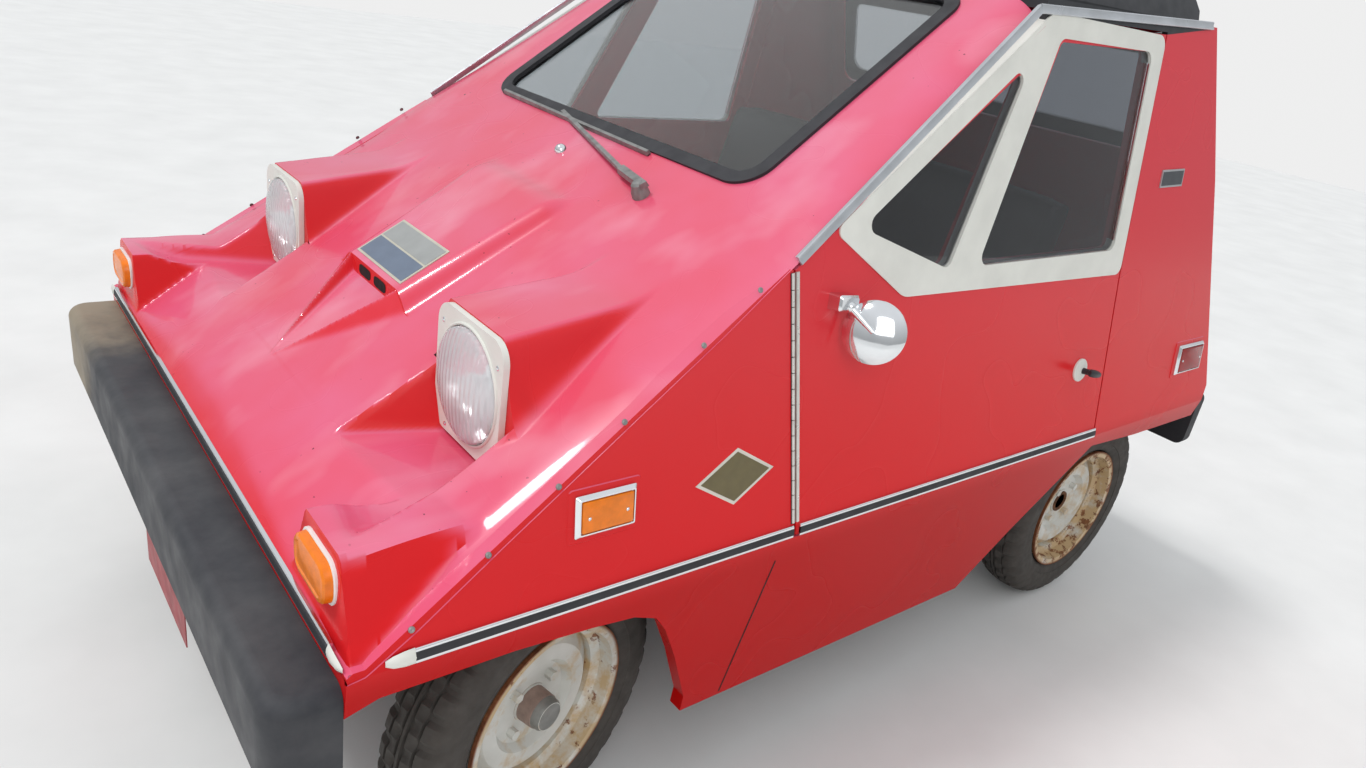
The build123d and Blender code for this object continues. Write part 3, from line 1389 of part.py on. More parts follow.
TYRE = tyre_solid()
for place, x, steer, offset_y, centre_y, cap in (
    # name, axle, steering angle, kingpin to wheel, kingpin or middle of the track, dust cap
    ("front", AXLE_F, STEER_AT_REST, KINGPIN_OFFSET, KINGPIN_Y, True),
    ("rear", AXLE_R, 0.0, REAR_TRACK / 2, 0.0, False),
):
    rim_shape = rim_solid(cap)
    for name, side in SIDES:
        pivot = Location((x, side * centre_y, AXLE_Z), (0, 0, steer))
        hub = pivot * Location((0, side * offset_y, 0), (-side * 90.0, 0, 0))
        tyre = TYRE.moved(hub)
        tyre.label = f"tyre_{place}_{name}"
        export_step(tyre, f"parts/tyre_{place}_{name}.step")
        rim = rim_shape.moved(hub)
        rim.label = f"rim_{place}_{name}"
        export_step(rim, f"parts/rim_{place}_{name}.step")

# Inside
with BuildPart() as seat:
    cushion = [
        (SEAT_X, SEAT_Z),
        (SEAT_X, SEAT_Z + SEAT_THICK),
        (SEAT_X - SEAT_DEPTH, SEAT_Z + SEAT_THICK),
        (SEAT_X - SEAT_DEPTH, SEAT_Z),
    ]
    back = [
        (SEAT_X - SEAT_DEPTH, SEAT_Z + SEAT_THICK + FIT),
        (SEAT_X - SEAT_DEPTH - 95.0, SEAT_Z + SEAT_THICK + FIT),
        (SEAT_X - SEAT_DEPTH - 95.0 - SEAT_LEAN, SEAT_TOP_Z),
        (SEAT_X - SEAT_DEPTH - SEAT_LEAN, SEAT_TOP_Z),
    ]
    add(prism_y(cushion, -SEAT_HALF, SEAT_HALF))
    add(prism_y(back, -SEAT_HALF + 30.0, SEAT_HALF - 30.0))
seat.part.label = "seat"
export_step(seat.part, "parts/seat.step")

DASH_FRONT_X = FIREWALL_X - FLOOR_THICK - FIT
WHEEL_AXIS = Vector(-cos(radians(COLUMN_ANGLE)), 0, sin(radians(COLUMN_ANGLE)))
HUB_POINT = Vector(STEER_WHEEL_X, STEER_WHEEL_Y, STEER_WHEEL_Z)
with BuildPart() as dashboard:
    points = [
        (DASH_FRONT_X, DASH_Z - 30.0),
        (DASH_FRONT_X, DASH_Z + 90.0),
        (FIREWALL_X - 190.0, DASH_Z + 130.0),
        (FIREWALL_X - 215.0, DASH_Z + 30.0),
        (FIREWALL_X - 170.0, DASH_Z - 30.0),
    ]
    add(prism_y(points, -DASH_HALF, DASH_HALF))
    column_reach = (DASH_FRONT_X - 20.0 - STEER_WHEEL_X) / cos(radians(COLUMN_ANGLE))
    column_low = HUB_POINT - WHEEL_AXIS * column_reach
    column_top = HUB_POINT - WHEEL_AXIS * (WHEEL_HUB_DEPTH + FIT)
    add(cylinder(tuple(column_low), tuple(column_top), 22.0))
dashboard.part.label = "dashboard"
export_step(dashboard.part, "parts/dashboard.step")

with BuildPart() as steering_wheel:
    wheel_plane = Plane(origin=HUB_POINT, x_dir=(0, 1, 0), z_dir=WHEEL_AXIS)
    section_plane = Plane(origin=HUB_POINT, x_dir=(0, 1, 0), z_dir=WHEEL_AXIS.cross(Vector(0, 1, 0)))
    with BuildSketch(section_plane):
        with Locations((STEER_WHEEL_R, 0)):
            Circle(RIM_GRIP_R)
    revolve(axis=Axis(HUB_POINT, WHEEL_AXIS))
    with BuildSketch(wheel_plane.offset(-WHEEL_HUB_DEPTH)):
        Circle(28.0)
    extrude(amount=WHEEL_HUB_DEPTH + 10.0)
    with BuildSketch(wheel_plane.offset(-4.0)):
        for angle in (0.0, 180.0, 270.0):
            with Locations(Location((0, 0, 0), (0, 0, angle))):
                with Locations((STEER_WHEEL_R / 2, 0)):
                    Rectangle(STEER_WHEEL_R, 26.0)
    extrude(amount=8.0)
steering_wheel.part.label = "steering_wheel"
export_step(steering_wheel.part, "parts/steering_wheel.step")
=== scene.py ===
"""Looks of a four wheeled electric microcar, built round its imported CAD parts."""
import math

import bpy
import numpy as np
from mathutils import Matrix, Vector
from mathutils.geometry import tessellate_polygon


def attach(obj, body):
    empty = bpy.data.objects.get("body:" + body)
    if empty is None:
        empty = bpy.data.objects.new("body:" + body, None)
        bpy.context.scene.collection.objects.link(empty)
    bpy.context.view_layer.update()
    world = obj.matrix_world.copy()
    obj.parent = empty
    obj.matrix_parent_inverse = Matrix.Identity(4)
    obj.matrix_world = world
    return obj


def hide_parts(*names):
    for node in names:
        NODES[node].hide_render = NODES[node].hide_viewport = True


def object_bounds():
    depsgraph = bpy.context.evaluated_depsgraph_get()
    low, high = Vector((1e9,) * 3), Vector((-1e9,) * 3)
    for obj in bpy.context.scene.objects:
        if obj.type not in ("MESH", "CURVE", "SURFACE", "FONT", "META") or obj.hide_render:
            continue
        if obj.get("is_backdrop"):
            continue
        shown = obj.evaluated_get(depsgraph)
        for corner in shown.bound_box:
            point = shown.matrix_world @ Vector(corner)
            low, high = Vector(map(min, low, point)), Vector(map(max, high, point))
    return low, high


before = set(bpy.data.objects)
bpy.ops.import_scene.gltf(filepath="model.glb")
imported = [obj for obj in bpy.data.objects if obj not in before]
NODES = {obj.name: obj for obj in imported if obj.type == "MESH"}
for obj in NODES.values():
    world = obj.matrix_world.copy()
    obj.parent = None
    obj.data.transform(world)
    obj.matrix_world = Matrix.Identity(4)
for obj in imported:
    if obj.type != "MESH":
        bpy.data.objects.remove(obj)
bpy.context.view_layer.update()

MM = 0.001
SIDES = (("left", 1), ("right", -1))
UP = Vector((0, 0, 1))

# Camera, from the two left wheels and the body edges
CAM_POS = (1.4401, 1.56375, 1.3882)
CAM_YAW, CAM_PITCH, CAM_ROLL = -2.29825, 0.40848, 0.164147
FOCAL_PX = 951.85
PHOTO_WIDTH_PX = 1366
SENSOR_MM = 36.0


def scene_object(name, data):
    """A new object, linked to the scene."""
    o = bpy.data.objects.new(name, data)
    bpy.context.scene.collection.objects.link(o)
    return o


def place_camera():
    """Puts the camera where the photo was taken from."""
    cam_data = bpy.data.cameras.new("camera")
    cam = scene_object("camera", cam_data)
    level = math.cos(CAM_PITCH)
    ahead = Vector((math.cos(CAM_YAW) * level, math.sin(CAM_YAW) * level, -math.sin(CAM_PITCH)))
    right = ahead.cross(UP).normalized()
    up = right.cross(ahead)
    c, s = math.cos(CAM_ROLL), math.sin(CAM_ROLL)
    right, up = c * right + s * up, c * up - s * right
    turn = Matrix((right, up, -ahead)).transposed().to_4x4()
    cam.matrix_world = Matrix.Translation(CAM_POS) @ turn
    cam_data.sensor_width = SENSOR_MM
    cam_data.lens = FOCAL_PX / PHOTO_WIDTH_PX * SENSOR_MM
    cam_data.clip_start = 0.05
    bpy.context.scene.camera = cam


place_camera()
bpy.context.scene.view_settings.view_transform = "Standard"


# Materials
class Net:
    """One procedural material, or the world, and short ways to add nodes to it."""

    def __init__(self, name, world=False, **sockets):
        self.mat = (bpy.data.worlds if world else bpy.data.materials).new(name)
        self.mat.use_nodes = True
        self.nodes = self.mat.node_tree.nodes
        self.links = self.mat.node_tree.links
        self.shader = self.nodes["Background" if world else "Principled BSDF"]
        self.coords = self.nodes.new("ShaderNodeTexCoord").outputs["Generated" if world else "Object"]
        for key, value in sockets.items():
            self.set(key.replace("_", " "), value)

    def feed(self, socket, value):
        """Links an output to a socket, or sets the socket to a colour or number."""
        if isinstance(value, bpy.types.NodeSocket):
            self.links.new(value, socket)
        elif isinstance(value, tuple):
            socket.default_value = (*value, 1.0)
        else:
            socket.default_value = value

    def set(self, key, value):
        self.feed(self.shader.inputs[key], value)

    def noise(self, scale, detail=4.0, rough=0.55, stretch=None, seed=0.0):
        node = self.nodes.new("ShaderNodeTexNoise")
        node.inputs["Scale"].default_value = scale
        node.inputs["Detail"].default_value = detail
        node.inputs["Roughness"].default_value = rough
        source = self.coords
        if stretch or seed:
            place = self.nodes.new("ShaderNodeMapping")
            place.inputs["Scale"].default_value = stretch or (1, 1, 1)
            place.inputs["Location"].default_value = (seed, seed * 1.7, -seed)
            self.links.new(source, place.inputs["Vector"])
            source = place.outputs["Vector"]
        self.links.new(source, node.inputs["Vector"])
        return node.outputs["Fac"]

    def ramp(self, fac, *stops):
        """A blend over stops of (position, colour or grey)."""
        node = self.nodes.new("ShaderNodeValToRGB")
        ramp = node.color_ramp
        for i, (at, color) in enumerate(stops):
            element = ramp.elements[i] if i < 2 else ramp.elements.new(at)
            element.position = at
            element.color = (*color, 1.0) if isinstance(color, tuple) else (color, color, color, 1.0)
        self.links.new(fac, node.inputs["Fac"])
        return node.outputs["Color"]

    def mix(self, fac, a, b):
        node = self.nodes.new("ShaderNodeMix")
        node.data_type = "RGBA"
        self.feed(node.inputs[0], fac)
        self.feed(node.inputs[6], a)
        self.feed(node.inputs[7], b)
        return node.outputs[2]

    def math(self, how, a, b):
        node = self.nodes.new("ShaderNodeMath")
        node.operation = how
        self.feed(node.inputs[0], a)
        self.feed(node.inputs[1], b)
        return node.outputs[0]

    def times(self, a, b):
        return self.math("MULTIPLY", a, b)

    def plus(self, a, b):
        return self.math("ADD", a, b)

    def vector(self, how, a, b=None):
        node = self.nodes.new("ShaderNodeVectorMath")
        node.operation = how
        self.links.new(a, node.inputs[0])
        if b is not None:
            node.inputs[1].default_value = b
        return node.outputs["Value" if how == "LENGTH" else "Vector"]

    def along(self, axis, source=None):
        """A vector's value on one axis, or where the point itself lies."""
        split = self.nodes.new("ShaderNodeSeparateXYZ")
        self.links.new(source or self.coords, split.inputs[0])
        return split.outputs[axis]

    def spread(self, value, low, high):
        """0 at low, 1 at high, smooth between."""
        node = self.nodes.new("ShaderNodeMapRange")
        node.interpolation_type = "SMOOTHSTEP"
        node.inputs["From Min"].default_value = low
        node.inputs["From Max"].default_value = high
        self.links.new(value, node.inputs["Value"])
        return node.outputs["Result"]

    def bump(self, height, strength, distance):
        node = self.nodes.new("ShaderNodeBump")
        node.inputs["Strength"].default_value = strength
        node.inputs["Distance"].default_value = distance
        self.links.new(height, node.inputs["Height"])
        self.links.new(node.outputs["Normal"], self.shader.inputs["Normal"])


def rgb(r, g, b):
    """An sRGB colour as linear values."""
    return tuple((v / 255) ** 2.2 for v in (r, g, b))


def red_paint(name):
    """Gloss red that is deeper below the belt as painted shade, with a painted sheen of pink clouds and pale
    reflection streaks where it faces up.
    """
    net = Net(name)
    height = net.along("Z")
    # Painted shade: deeper red below the belt. Painted sheen: a slightly pinker red higher up.
    tint = net.mix(net.spread(height, 0.52, 0.6), rgb(184, 10, 12), rgb(216, 38, 42))
    tint = net.mix(net.spread(height, 0.7, 1.2), tint, rgb(216, 54, 66))
    normal = net.nodes.new("ShaderNodeNewGeometry").outputs["Normal"]
    sun = net.spread(net.along("Z", normal), 0.45, 0.85)
    # Painted sheen: pink clouds on faces that look up.
    sheen_cloud = net.ramp(net.noise(3.4, 3, 0.5), (0.3, 0.35), (0.7, 0.85))
    tint = net.mix(net.times(sun, sheen_cloud), tint, rgb(220, 104, 140))
    # Painted reflection: pale pink streaks on faces that look up.
    pale_reflection = net.noise(6, 3, 0.55, stretch=(0.4, 1, 1), seed=2)
    pale_reflection = net.ramp(pale_reflection, (0.5, 0), (0.75, 0.3))
    tint = net.mix(net.times(sun, pale_reflection), tint, rgb(238, 186, 202))
    speck = net.ramp(net.noise(95, 1, 0.5, seed=6), (0.77, 0), (0.785, 0.85))
    few = net.ramp(net.noise(5, 2, seed=8), (0.52, 0), (0.6, 1))
    tint = net.mix(net.times(net.times(speck, few), sun), tint, rgb(46, 16, 18))
    net.set("Base Color", tint)
    net.set("Roughness", net.ramp(net.noise(5, 1, seed=3), (0.3, 0.24), (0.75, 0.3)))
    net.set("Coat Weight", net.plus(net.times(sun, 0.45), 0.05))
    net.set("Coat Roughness", 0.06)
    net.set("Specular IOR Level", net.plus(net.times(net.spread(height, 0.5, 1), 0.25), 0.1))
    net.bump(net.noise(3.4, 0, seed=5), 0.08, 0.004)
    return net.mat


def plain(name, color, rough, metal=0, vary=0.12, scale=30, bump=0.1):
    """A material whose sRGB colour and roughness wander a little about one value."""
    net = Net(name, Metallic=metal)
    dark = tuple(v * (1 - 2 * vary) for v in rgb(*color))
    light = tuple(min(1, v * (1 + vary)) for v in rgb(*color))
    net.set("Base Color", net.ramp(net.noise(scale, 5), (0.3, dark), (0.7, light)))
    grain = net.noise(scale * 1.7, 4, seed=2)
    net.set("Roughness", net.ramp(grain, (0.3, rough * 0.85), (0.7, min(1, rough * 1.2))))
    if bump:
        net.bump(net.noise(scale * 9, 3), bump, 0.0006)
    return net.mat


def glass(name, color):
    return Net(name, Base_Color=color, Roughness=0.02, Transmission_Weight=1, IOR=1.45).mat


def fluted_glass():
    """Milky white pressed glass with upright flutes, partly see-through; the milky white is a painted
    highlight for the lens's bright reflections.
    """
    # Painted highlight: the near white base colour makes the lens glow bright.
    net = Net("lamp_glass", Base_Color=(0.93, 0.94, 0.95), Roughness=0.12, Transmission_Weight=0.55, IOR=1.3)
    flutes = net.nodes.new("ShaderNodeTexWave")
    flutes.bands_direction = "Y"
    flutes.inputs["Scale"].default_value = 26
    flutes.inputs["Distortion"].default_value = 0.4
    net.links.new(net.coords, flutes.inputs["Vector"])
    net.bump(flutes.outputs["Fac"], 0.5, 0.002)
    return net.mat


def bumper_rubber():
    """Black rubber gone tan toward its right end."""
    net = Net("bumper_rubber")
    wander = net.times(net.noise(5, 5, 0.65), 0.5)
    bleached = net.spread(net.plus(net.along("Y"), wander), -0.1, -0.42)
    coal = net.ramp(net.noise(8, 5, 0.6), (0.3, rgb(40, 42, 48)), (0.7, rgb(74, 74, 76)))
    net.set("Base Color", net.mix(bleached, coal, rgb(142, 130, 112)))
    net.set("Roughness", net.ramp(net.noise(14, 4), (0.3, 0.5), (0.7, 0.75)))
    net.bump(net.noise(70, 5), 0.3, 0.0008)
    return net.mat


def rim_paint(name, centre, axis, rust):
    """Cream enamel that rusts at the flange and in the hollows, by distance from the axle."""
    net = Net(name, Metallic=0)
    away = net.vector("SUBTRACT", net.coords, [c * MM for c in centre])
    radius = net.vector("LENGTH", net.vector("CROSS_PRODUCT", away, axis))
    # The flange edge rusts through, the barrel is stained in patches
    lip = net.ramp(net.times(radius, 5), (0, 0), (0.795, 0), (0.822, 1))
    barrel = net.ramp(net.times(radius, 5), (0, 0), (0.56, 0), (0.66, 0.75), (0.8, 1))
    stain = net.plus(net.noise(17, 7, 0.66), net.times(barrel, 0.16))
    stain = net.ramp(stain, (0.56 - rust, 0), (0.74 - rust, 1))
    deep = net.plus(net.noise(42, 6, 0.7, seed=7), net.times(barrel, 0.12 + rust))
    deep = net.ramp(deep, (0.72, 0), (0.78, 0.9))
    paint = net.ramp(net.noise(9, 4), (0.3, rgb(214, 214, 208)), (0.7, rgb(190, 190, 182)))
    paint = net.mix(net.times(stain, 0.8), paint, rgb(188, 154, 100))
    browns = ((0.3, rgb(84, 46, 26)), (0.6, rgb(128, 76, 44)), (0.8, rgb(160, 112, 72)))
    rusty = net.ramp(net.noise(60, 6, 0.7, seed=4), *browns)
    edge = net.math("MAXIMUM", deep, lip)
    net.set("Base Color", net.mix(edge, paint, rusty))
    net.set("Roughness", net.ramp(edge, (0, 0.4), (1, 0.85)))
    net.bump(net.noise(90, 5), 0.25, 0.0008)
    return net.mat


RED = red_paint("red_plastic")
CREAM = plain("cream_frame", (222, 222, 214), 0.35, vary=0.04, scale=14, bump=0.05)
BLACK = plain("black_plastic", (44, 46, 50), 0.42, scale=20)
RUBBER = plain("black_rubber", (46, 46, 50), 0.62, scale=16, bump=0.3)
CHROME = plain("chrome", (232, 234, 236), 0.09, 1, vary=0.02, bump=0)
FRAME_METAL = plain("frame_metal", (52, 50, 48), 0.6, scale=24, bump=0.3)
TYRE = plain("tyre_rubber", (70, 66, 62), 0.85, scale=30, bump=0.4)
AMBER = plain("amber_lens", (238, 124, 18), 0.22, vary=0.08, scale=70, bump=0.3)
RED_LENS = plain("red_lens", (150, 16, 18), 0.2, scale=60)
SEAT = plain("seat_vinyl", (36, 34, 34), 0.5, scale=60, bump=0.4)
PLATE = plain("plate_paint", (160, 70, 74), 0.5, scale=20)
CLEAR = glass("clear_glass", (0.92, 0.96, 0.95))
TINTED = glass("tinted_glass", (0.35, 0.37, 0.4))
LENS = fluted_glass()
CREAM_METAL = plain("hinge_metal", (214, 214, 208), 0.3, 0.6, vary=0.05, scale=40, bump=0.05)
SILVER = plain("silver_rail", (198, 202, 206), 0.32, 0.75, vary=0.06, scale=18, bump=0.05)
REFLECTOR = plain("lamp_reflector", (226, 228, 230), 0.14, 0.95, vary=0.03, bump=0)
WORN_METAL = plain("worn_metal", (138, 138, 136), 0.42, 0.5, vary=0.16, scale=60)
PLAQUE_GREY = plain("plaque_grey", (108, 120, 138), 0.4, 0.2, vary=0.05, scale=24)
PLAQUE_CREAM = plain("plaque_cream", (196, 192, 176), 0.4, 0.2, vary=0.05, scale=24)
# Painted shade: flat black for the dark inside of the spine's openings.
OPENING_SHADE = plain("opening_shade", (14, 10, 12), 0.8, bump=0)
BADGE_RIM = plain("badge_rim", (190, 192, 194), 0.35, 0.7, vary=0.04, bump=0)
BADGE_DARK = plain("badge_dark", (66, 70, 74), 0.4, vary=0.05, bump=0)
DIAMOND_RIM = plain("diamond_rim", (214, 208, 196), 0.4, vary=0.04, bump=0)
DIAMOND = plain("diamond_olive", (104, 94, 62), 0.42, vary=0.06, scale=50, bump=0.05)
WHITE_BASE = plain("lamp_base_white", (232, 232, 230), 0.35, vary=0.03, bump=0)
SEAM = plain("seam_dark", (40, 14, 16), 0.8, bump=0)
CAP_GREY = plain("dust_cap_grey", (134, 134, 130), 0.5, 0.4, vary=0.1, scale=50)
RUSTY = plain("rusty_iron", (104, 70, 46), 0.85, 0.1, vary=0.25, scale=60, bump=0.4)
GREASY = plain("greasy_hub", (150, 128, 118), 0.55, 0.2, vary=0.14, scale=50, bump=0.3)
PLAQUE_PALE = plain("plaque_pale", (158, 160, 158), 0.4, 0.2, vary=0.05, scale=24)

LOOKS = (
    # material, nodes that carry it
    (RED, ("front_panel", "nose_panel", "fenders", "sills", "quarter_panels", "tail_panel")),
    (RED, ("door_panel_left", "door_panel_right", "window_frame_left", "window_frame_right")),
    (BLACK, ("roof_panel", "hatch_frame", "floor_pan", "battery_pack", "dashboard", "steering_wheel")),
    (CLEAR, ("windscreen",)),
    (TINTED, ("door_glass_left", "door_glass_right", "hatch_glass")),
    (RUBBER, ("windscreen_gasket", "rear_bumper")),
    (LENS, ("headlamps",)),
    (CREAM, ("headlamp_bezels",)),
    (AMBER, ("indicator_lamps",)),
    (RED_LENS, ("tail_lamps",)),
    (PLATE, ("licence_plates",)),
    (FRAME_METAL, ("wiper", "drive_motor", "chassis_front", "chassis_middle", "chassis_rear")),
    (FRAME_METAL, ("front_axle", "rear_axle", "knuckle_left", "knuckle_right")),
    (SEAT, ("seat",)),
    (CHROME, ("door_fittings_left", "door_fittings_right")),
)


def paint(node, look):
    """Gives one CAD piece a single material."""
    NODES[node].data.materials.clear()
    NODES[node].data.materials.append(look)


for look, nodes in LOOKS:
    for node in nodes:
        paint(node, look)
paint("front_bumper", bumper_rubber())


# Shapes, all in millimetres in the part's frame
def mesh_piece(name, verts, faces, look, body="car", sharp=32, replaces=()):
    """One visible piece from points and faces, riding on one body."""
    mesh = bpy.data.meshes.new(name)
    mesh.from_pydata([tuple(c * MM for c in v) for v in verts], [], faces)
    mesh.validate()
    mesh.shade_smooth()
    mesh.set_sharp_from_angle(angle=math.radians(sharp))
    mesh.materials.append(look)
    o = scene_object(name, mesh)
    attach(o, body)
    if replaces:
        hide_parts(*replaces)
    return o


def grid_faces(rows, columns, keep=None, wrap=False):
    """Faces of a grid of points given row by row."""
    faces = []
    for i in range(rows - 1):
        here, above = i * columns, (i + 1) * columns
        for j in range(columns if wrap else columns - 1):
            if keep is None or keep(i, j):
                k = (j + 1) % columns
                faces.append((here + j, here + k, above + k, above + j))
    return faces


def joined(*shapes):
    """Several (points, faces) shapes as one."""
    verts, faces = [], []
    for v, f in shapes:
        faces += [tuple(i + len(verts) for i in face) for face in f]
        verts += v
    return verts, faces


def ring_walls(count, lower, upper):
    """Faces between two rings of points that start at two indices."""
    faces = []
    for i in range(count):
        k = (i + 1) % count
        faces.append((lower + i, lower + k, upper + k, upper + i))
    return faces


def soften(o, width, angle):
    """Rounds the edges that turn by more than an angle."""
    edge = o.modifiers.new("edge", "BEVEL")
    edge.width = width * MM
    edge.segments = 3
    edge.limit_method = "ANGLE"
    edge.angle_limit = math.radians(angle)


# The side walls lean in above and below the belt
BELT_Z = 566
BELT_HALF = 698.5
LEAN_ABOVE, LEAN_BELOW = 0.1468, 0.129


def side_at(z):
    """Half the body's width at height z."""
    return BELT_HALF - np.where(z > BELT_Z, LEAN_ABOVE, LEAN_BELOW) * np.abs(z - BELT_Z)


def side_spot(x, z, side, out=0):
    """A point on the side wall, out millimetres proud of it."""
    return (x, side * (float(side_at(z)) + out), z)


def side_normal(side):
    """Which way the upper side wall faces."""
    return Vector((0, side, LEAN_ABOVE)).normalized()


def outward(points, side):
    """Points in the order that makes faces look outward on either side."""
    return points if side > 0 else points[::-1]


# Hood moulding: a height field over stations that crowd together where the form turns
def smax(a, b, k):
    """The higher of two heights, with a concave blend k high."""
    h = np.maximum(k - np.abs(a - b), 0) / k
    return np.maximum(a, b) + h * h * k / 4


def smin(a, b, k):
    """The lower of two heights, with a rounded crest k high."""
    return -smax(-a, -b, k)


def ease(v, low, high):
    """0 below low, 1 above high, smooth between."""
    t = np.clip((v - low) / (high - low), 0, 1)
    return t * t * (3 - 2 * t)


def circle_through(a, b, c):
    """Centre of the circle through three points."""
    m = np.array([[p[0] - a[0], p[1] - a[1]] for p in (b, c)]) * 2
    v = np.array([p[0] ** 2 - a[0] ** 2 + p[1] ** 2 - a[1] ** 2 for p in (b, c)])
    return np.linalg.solve(m, v)


# Seam along each side and the crease above it, at stations from the roof to the nose
EDGE_X = (-126, -119.5, 442.5, 560, 712, 799, 915, 1026, 1092, 1114.5)
EDGE_Z = (1380, 1377, 1006, 922, 820, 761, 683, 606, 566, 562)
CREASE_X = (-126, 213, 383, 520, 620, 707, 788, 884, 975, 1114.5)
CREASE_Y = (478, 508, 536, 566, 600, 622, 628, 634, 641, 652)
SEAM_OUT = 1.5

ROOF_X = -119.5
HOOD_REAR_X = 393.5
SCREEN_FOOT_X, SCREEN_FOOT_Z, SCREEN_RISE = 387.5, 1058, 0.733
SPINE_END_X = 814.5
SCOOP_AT = 815
LIP_END_X = 993
TURN_X = 1101.5
NOSE_X = 1114.5
NOSE_TOP_Z = 584
LAMP_X, LAMP_Y, LAMP_Z = 828.5, 420, 787
LAMP_FLOOR_Z = 676
NOSE_PTS = ((1002.5, 679), (1067.5, 637), (NOSE_X, NOSE_TOP_Z))
NOSE_C = circle_through(*NOSE_PTS)
NOSE_R = math.dist(NOSE_C, NOSE_PTS[0])


def crown(x, y):
    """The plain hood and windscreen surface with its crown and rounded nose."""
    low = 1040 - 0.65045 * (x - HOOD_REAR_X)
    mid = 1056 - 0.62484 * (x - HOOD_REAR_X)
    half = 632 + 0.07426 * (x - HOOD_REAR_X)
    hood = low + (mid - low) * (1 - (y / half) ** 2)
    arc = NOSE_C[1] + np.sqrt(np.maximum(NOSE_R**2 - (x - NOSE_C[0]) ** 2, 1))
    hood = np.where(x > 985, smin(hood, np.where(x < NOSE_C[0], 900, arc), 6), hood)
    return smax(hood, SCREEN_FOOT_Z + (SCREEN_FOOT_X - x) * SCREEN_RISE, 14)


def shoulders(x, y, z):
    """Drops z past the crease to the seam along each side."""
    a = np.abs(y)
    crease = np.interp(x, CREASE_X, CREASE_Y)
    bottom = np.interp(x, EDGE_X, EDGE_Z)
    out = side_at(bottom) + SEAM_OUT
    t = (a - crease) / (out - crease)
    at_crease = crown(x, crease)
    band = at_crease + (bottom - at_crease) * t
    rolled = z - (crown(x, out) - bottom) * np.maximum(t, 0) ** 2.2
    w = ease(x, 440, 620)
    return w * smin(z, band, 7) + (1 - w) * rolled


def spine_top(x):
    """Height of the flat top of the middle spine."""
    return 822 + 0.597 * (SPINE_END_X - x)


def add_spine(x, a, z, plain_z):
    """Raises the spine, and two lips from its front corners down to a point."""
    top = spine_top(x)
    half = np.interp(x, (462.5, 640, SPINE_END_X), (150, 128, 112))
    ridge = smin(top, top + (half - a) * 0.9, 12)
    rise = ease(x, 425, 570)
    ridge = rise * ridge + (1 - rise) * (plain_z - 40)
    reach = np.clip((LIP_END_X - x) / (LIP_END_X - SCOOP_AT), 0, 1)
    line = 103 * reach
    lip = plain_z + 29 * reach - np.maximum(a - line, 0) * 0.75 - np.maximum(line - a, 0) * 1.7
    with_lip = np.where(x < LIP_END_X, smax(z, lip, 5), z)
    return np.where(x < SCOOP_AT + 0.1, smax(z, ridge, 9), with_lip)


def turn_pod(x, a):
    """Height of the pod behind each turn signal."""
    top = 700
    pod = smin(np.full_like(x, top), top + (60 - np.abs(a - 576)) * 2.6, 9)
    return smin(pod, top + (TURN_X - x) * 24, 8)


def recess(x, a, plain_z):
    """Floor and walls of the hollow before each headlamp."""
    outer = plain_z + 1.25 * (x - 1000)
    flank = plain_z + 1.5 * (a - 538)
    inner = LAMP_FLOOR_Z + (348 - (x - LAMP_X) * 0.31 - a) * 2.6
    return smax(smax(np.full_like(x, LAMP_FLOOR_Z), outer, 26), smax(inner, flank, 10), 14)


def hood_z(x, y, front):
    """Height of the hood moulding; front says on which side of the lamps it is taken."""
    a = np.abs(y)
    plain_z = crown(x, y)
    z = add_spine(x, a, shoulders(x, y, plain_z), plain_z)
    z = smax(z, turn_pod(x, a), 9)
    # Headlamp pods, with a wide foot outside each lamp that fades out before it
    top = 891 + (LAMP_X - x) * 0.137
    half = np.interp(x, (609.5, LAMP_X), (76, 87))
    wall = top + (half - np.abs(a - 416)) * 3.2
    foot = 26 + 40 * ease(x, 660, LAMP_X) * ease(a, 470, 530)
    if front:
        z = np.where(a > 500, smax(z, wall - (x - LAMP_X) * 2, foot), z)
        return smin(z, recess(x, a, plain_z), 7)
    lamp_pod = smin(smin(top, wall, 24), top + (LAMP_X + 2 - x) * 6, 14)
    return smax(z, lamp_pod, foot)


def stations(low, high, step, *crowds):
    """Values from low to high about step apart, closer inside each (start, end, step)."""
    values = [low]
    while values[-1] < high:
        here = min([step] + [c for a, b, c in crowds if a - 1e-6 <= values[-1] < b])
        edges = [e for a, b, _ in crowds for e in (a, b) if values[-1] + 0.01 < e < values[-1] + here]
        values.append(min([values[-1] + here, high] + edges))
    return values


SCOOP_STEP = (SCOOP_AT - 0.2, SCOOP_AT + 0.2)
BACK_CROWDS = ((560, 700, 5), (770, SCOOP_STEP[0], 5), (*SCOOP_STEP, 0.4))
XS_BACK = stations(ROOF_X, LAMP_X, 9, *BACK_CROWDS, (SCOOP_STEP[1], LAMP_X, 2.2))
XS_FRONT = stations(LAMP_X, NOSE_X, 3, (1096, 1103, 0.8))
SIDE_CROWDS = ((0, 116, 2.5), (116, 160, 5), (296, 352, 3.5), (440, 552, 3.5))
YS_HALF = stations(0, 560, 7, *SIDE_CROWDS)
YS = [-v for v in reversed(YS_HALF[1:])] + YS_HALF
OUTER = [v / 16 for v in range(1, 17)]


def screen_edge(x, y):
    """How far inside the windscreen's outline a point of the glass plane lies."""
    foot, head, corner = 22, 24, 62
    low, high = 440, 432
    up = math.hypot(1, SCREEN_RISE) * (SCREEN_FOOT_X - x)
    face = math.hypot(513, 376)
    mid = (foot + face - head) / 2
    tall = face - (foot + head)
    half = low + (high - low) * (up - foot) / tall
    dx = np.abs(y) - (half - corner)
    dy = np.abs(up - mid) - (tall / 2 - corner)
    beyond = np.hypot(np.maximum(dx, 0), np.maximum(dy, 0))
    return -(beyond + np.minimum(np.maximum(dx, dy), 0) - corner)


